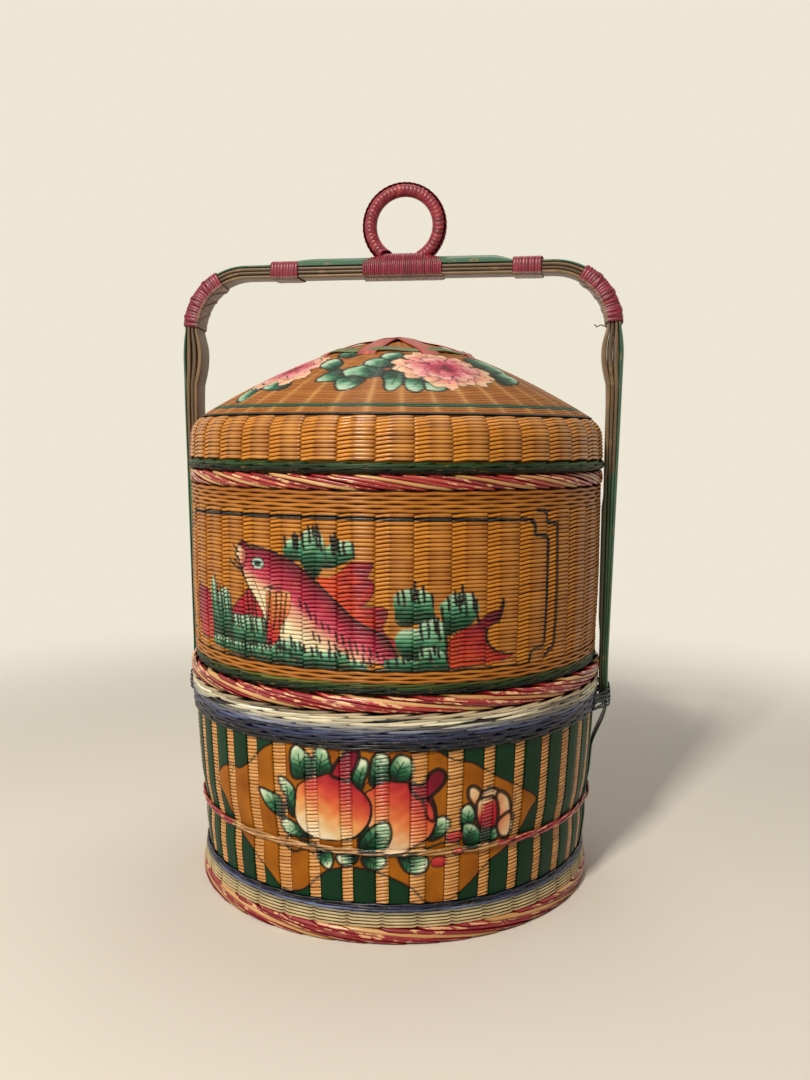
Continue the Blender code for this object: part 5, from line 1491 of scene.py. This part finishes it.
def makeRing(r):
    steps = r["turns"]
    place = np.radians(np.linspace(r["start"], 360 - r["start"], steps))      # from the bottom round
    outward = np.stack([np.sin(place), 0 * place, -np.cos(place)], -1)
    middle = np.array([r["x"], 0, r["z"]]) + r["radius"] * outward
    along = np.stack([np.cos(place), 0 * place, np.sin(place)], -1)
    side = np.array([0, 1.0, 0])
    turn = np.linspace(0, 2 * math.pi, 17)[:-1]
    loop = outward[:, None] * np.cos(turn)[None, :, None] + side * np.sin(turn)[None, :, None]
    slide = along[:, None] * (r["lean"] * np.sin(turn))[None, :, None]
    centre = middle[:, None] + loop * r["cane"] + slide
    section = flatSection(r["wide"] * mm, 1.1 * mm, 5, 0.2)
    wrapping = sweep(centre * mm, loop, section, closed=True,
        dye=dyes(["84202e", "903038", "7a1a2a"], steps))
    core = sweep(middle[None] * mm, outward[None],
        roundSection(2 * r["cane"] * mm, 2 * r["cane"] * mm, 12), dye=dyes(["4a0f1c"], 1))
    # the plait that runs round the outer edge
    links = r["links"]
    t = np.linspace(0, 1, 7)[None]
    bundles = [wrapping, core]
    for hand in (1, -1):
        a = np.radians(np.linspace(r["start"] + 4, 356 - r["start"], links))[:, None] + t * r["linkTurn"]
        across = hand * (1.9 - 3.0 * t) + 0 * a
        lift = r["cane"] + 0.4 + 0.7 * np.sin(t * math.pi) + 0 * a
        reach = r["radius"] + lift
        point = np.stack([r["x"] + reach * np.sin(a), across, r["z"] - reach * np.cos(a)], -1)
        out = np.stack([np.sin(a), 0 * a, -np.cos(a)], -1)
        shade = np.broadcast_to(1 - 0.7 * abs(2 * t - 1) ** 2, a.shape)
        bundles.append(sweep(point * mm, out, caneSection(2.0 * mm, 1.3 * mm), shade=shade,
                dye=dyes(["7c1a2a", "903036"], links)))
    makePiece("gripRingWrap", bundles, wrapSkin, "base", ["grip_ring"])


gripRing = {"x": 4.5, "z": 438.1, "radius": 23.2, "cane": 3.75, "turns": 46, "start": 34, "lean": 3.8,
    "wide": 3.3, "links": 40, "linkTurn": 0.18}


tie = {"half": 7.6, "reach": 26.0, "face": 146.9, "level": 119.3, "pitch": 1.32, "band": 140.0,
    "wide": 1.35, "thick": 1.15,
    "tones": ["10141c", "1c2634", "141c1c", "2c3644", "1a2622", "343e4c", "161e20", "222c38"]}


def makeTies():
    half, reach, face = tie["half"], tie["reach"], tie["face"]
    for side, name, node in ((1, "tieStrandsRight", "handle_tie_right"),
            (-1, "tieStrandsLeft", "handle_tie_left")):
        bundles = []
        for i, code in enumerate(tie["tones"]):
            y = np.linspace(-reach - 3, reach + 3, 60)
            z = tie["level"] + i * tie["pitch"] + 0.5 * np.sin(y / 7 + i * 2.1) + 0.6 * np.sin(y / 19 + i)
            onBand = np.sqrt(tie["band"] ** 2 - y ** 2) + 0.2
            x = np.where(abs(y) < half, face + 0.8,
                mixed(face + 0.8, onBand + 0.5, soft(abs(y), half, reach))) + 0.35 * math.sin(i * 2.6)
            x = x - 1.6 * soft(abs(y), reach, reach + 3)
            centre = np.stack([side * x, y, z], -1)[None] * mm
            out = np.stack([side * x / 100, y / tie["band"], 0 * y], -1)[None]
            bundles.append(sweep(centre, out, roundSection(tie["wide"] * mm, tie["thick"] * mm, 6),
                    dye=dyes([code], 1)))
        makePiece(name, bundles, bandSkin, "base", [node])


def keepPlain():
    # the five solids that no woven piece replaces
    ring = plainBamboo("collar bamboo", "8a5f34", "c69a64", (20, 20, 900))
    floor = plainBamboo("floor bamboo", "7c5630", "bd9060", (700, 25, 25))
    skins = {"lower_collar": ring, "upper_collar": ring, "lid_inner_ring": ring, "lower_floor": floor,
        "upper_floor": floor}
    for piece in bpy.data.objects:
        if piece.type == "MESH" and piece.name in skins:
            piece.data.materials.clear()
            piece.data.materials.append(skins[piece.name])


makeUpperWall(upperWeave)
print("upper wall woven")
makeLid()
makeCrown(crownPlait)
print("lid woven")
makeBorders()
makeLowerWall()
makeHoop()
print("lower tier woven")
makeHandle()
makeBindings()
makeRing(gripRing)
makeTies()
keepPlain()
print("handle bound")
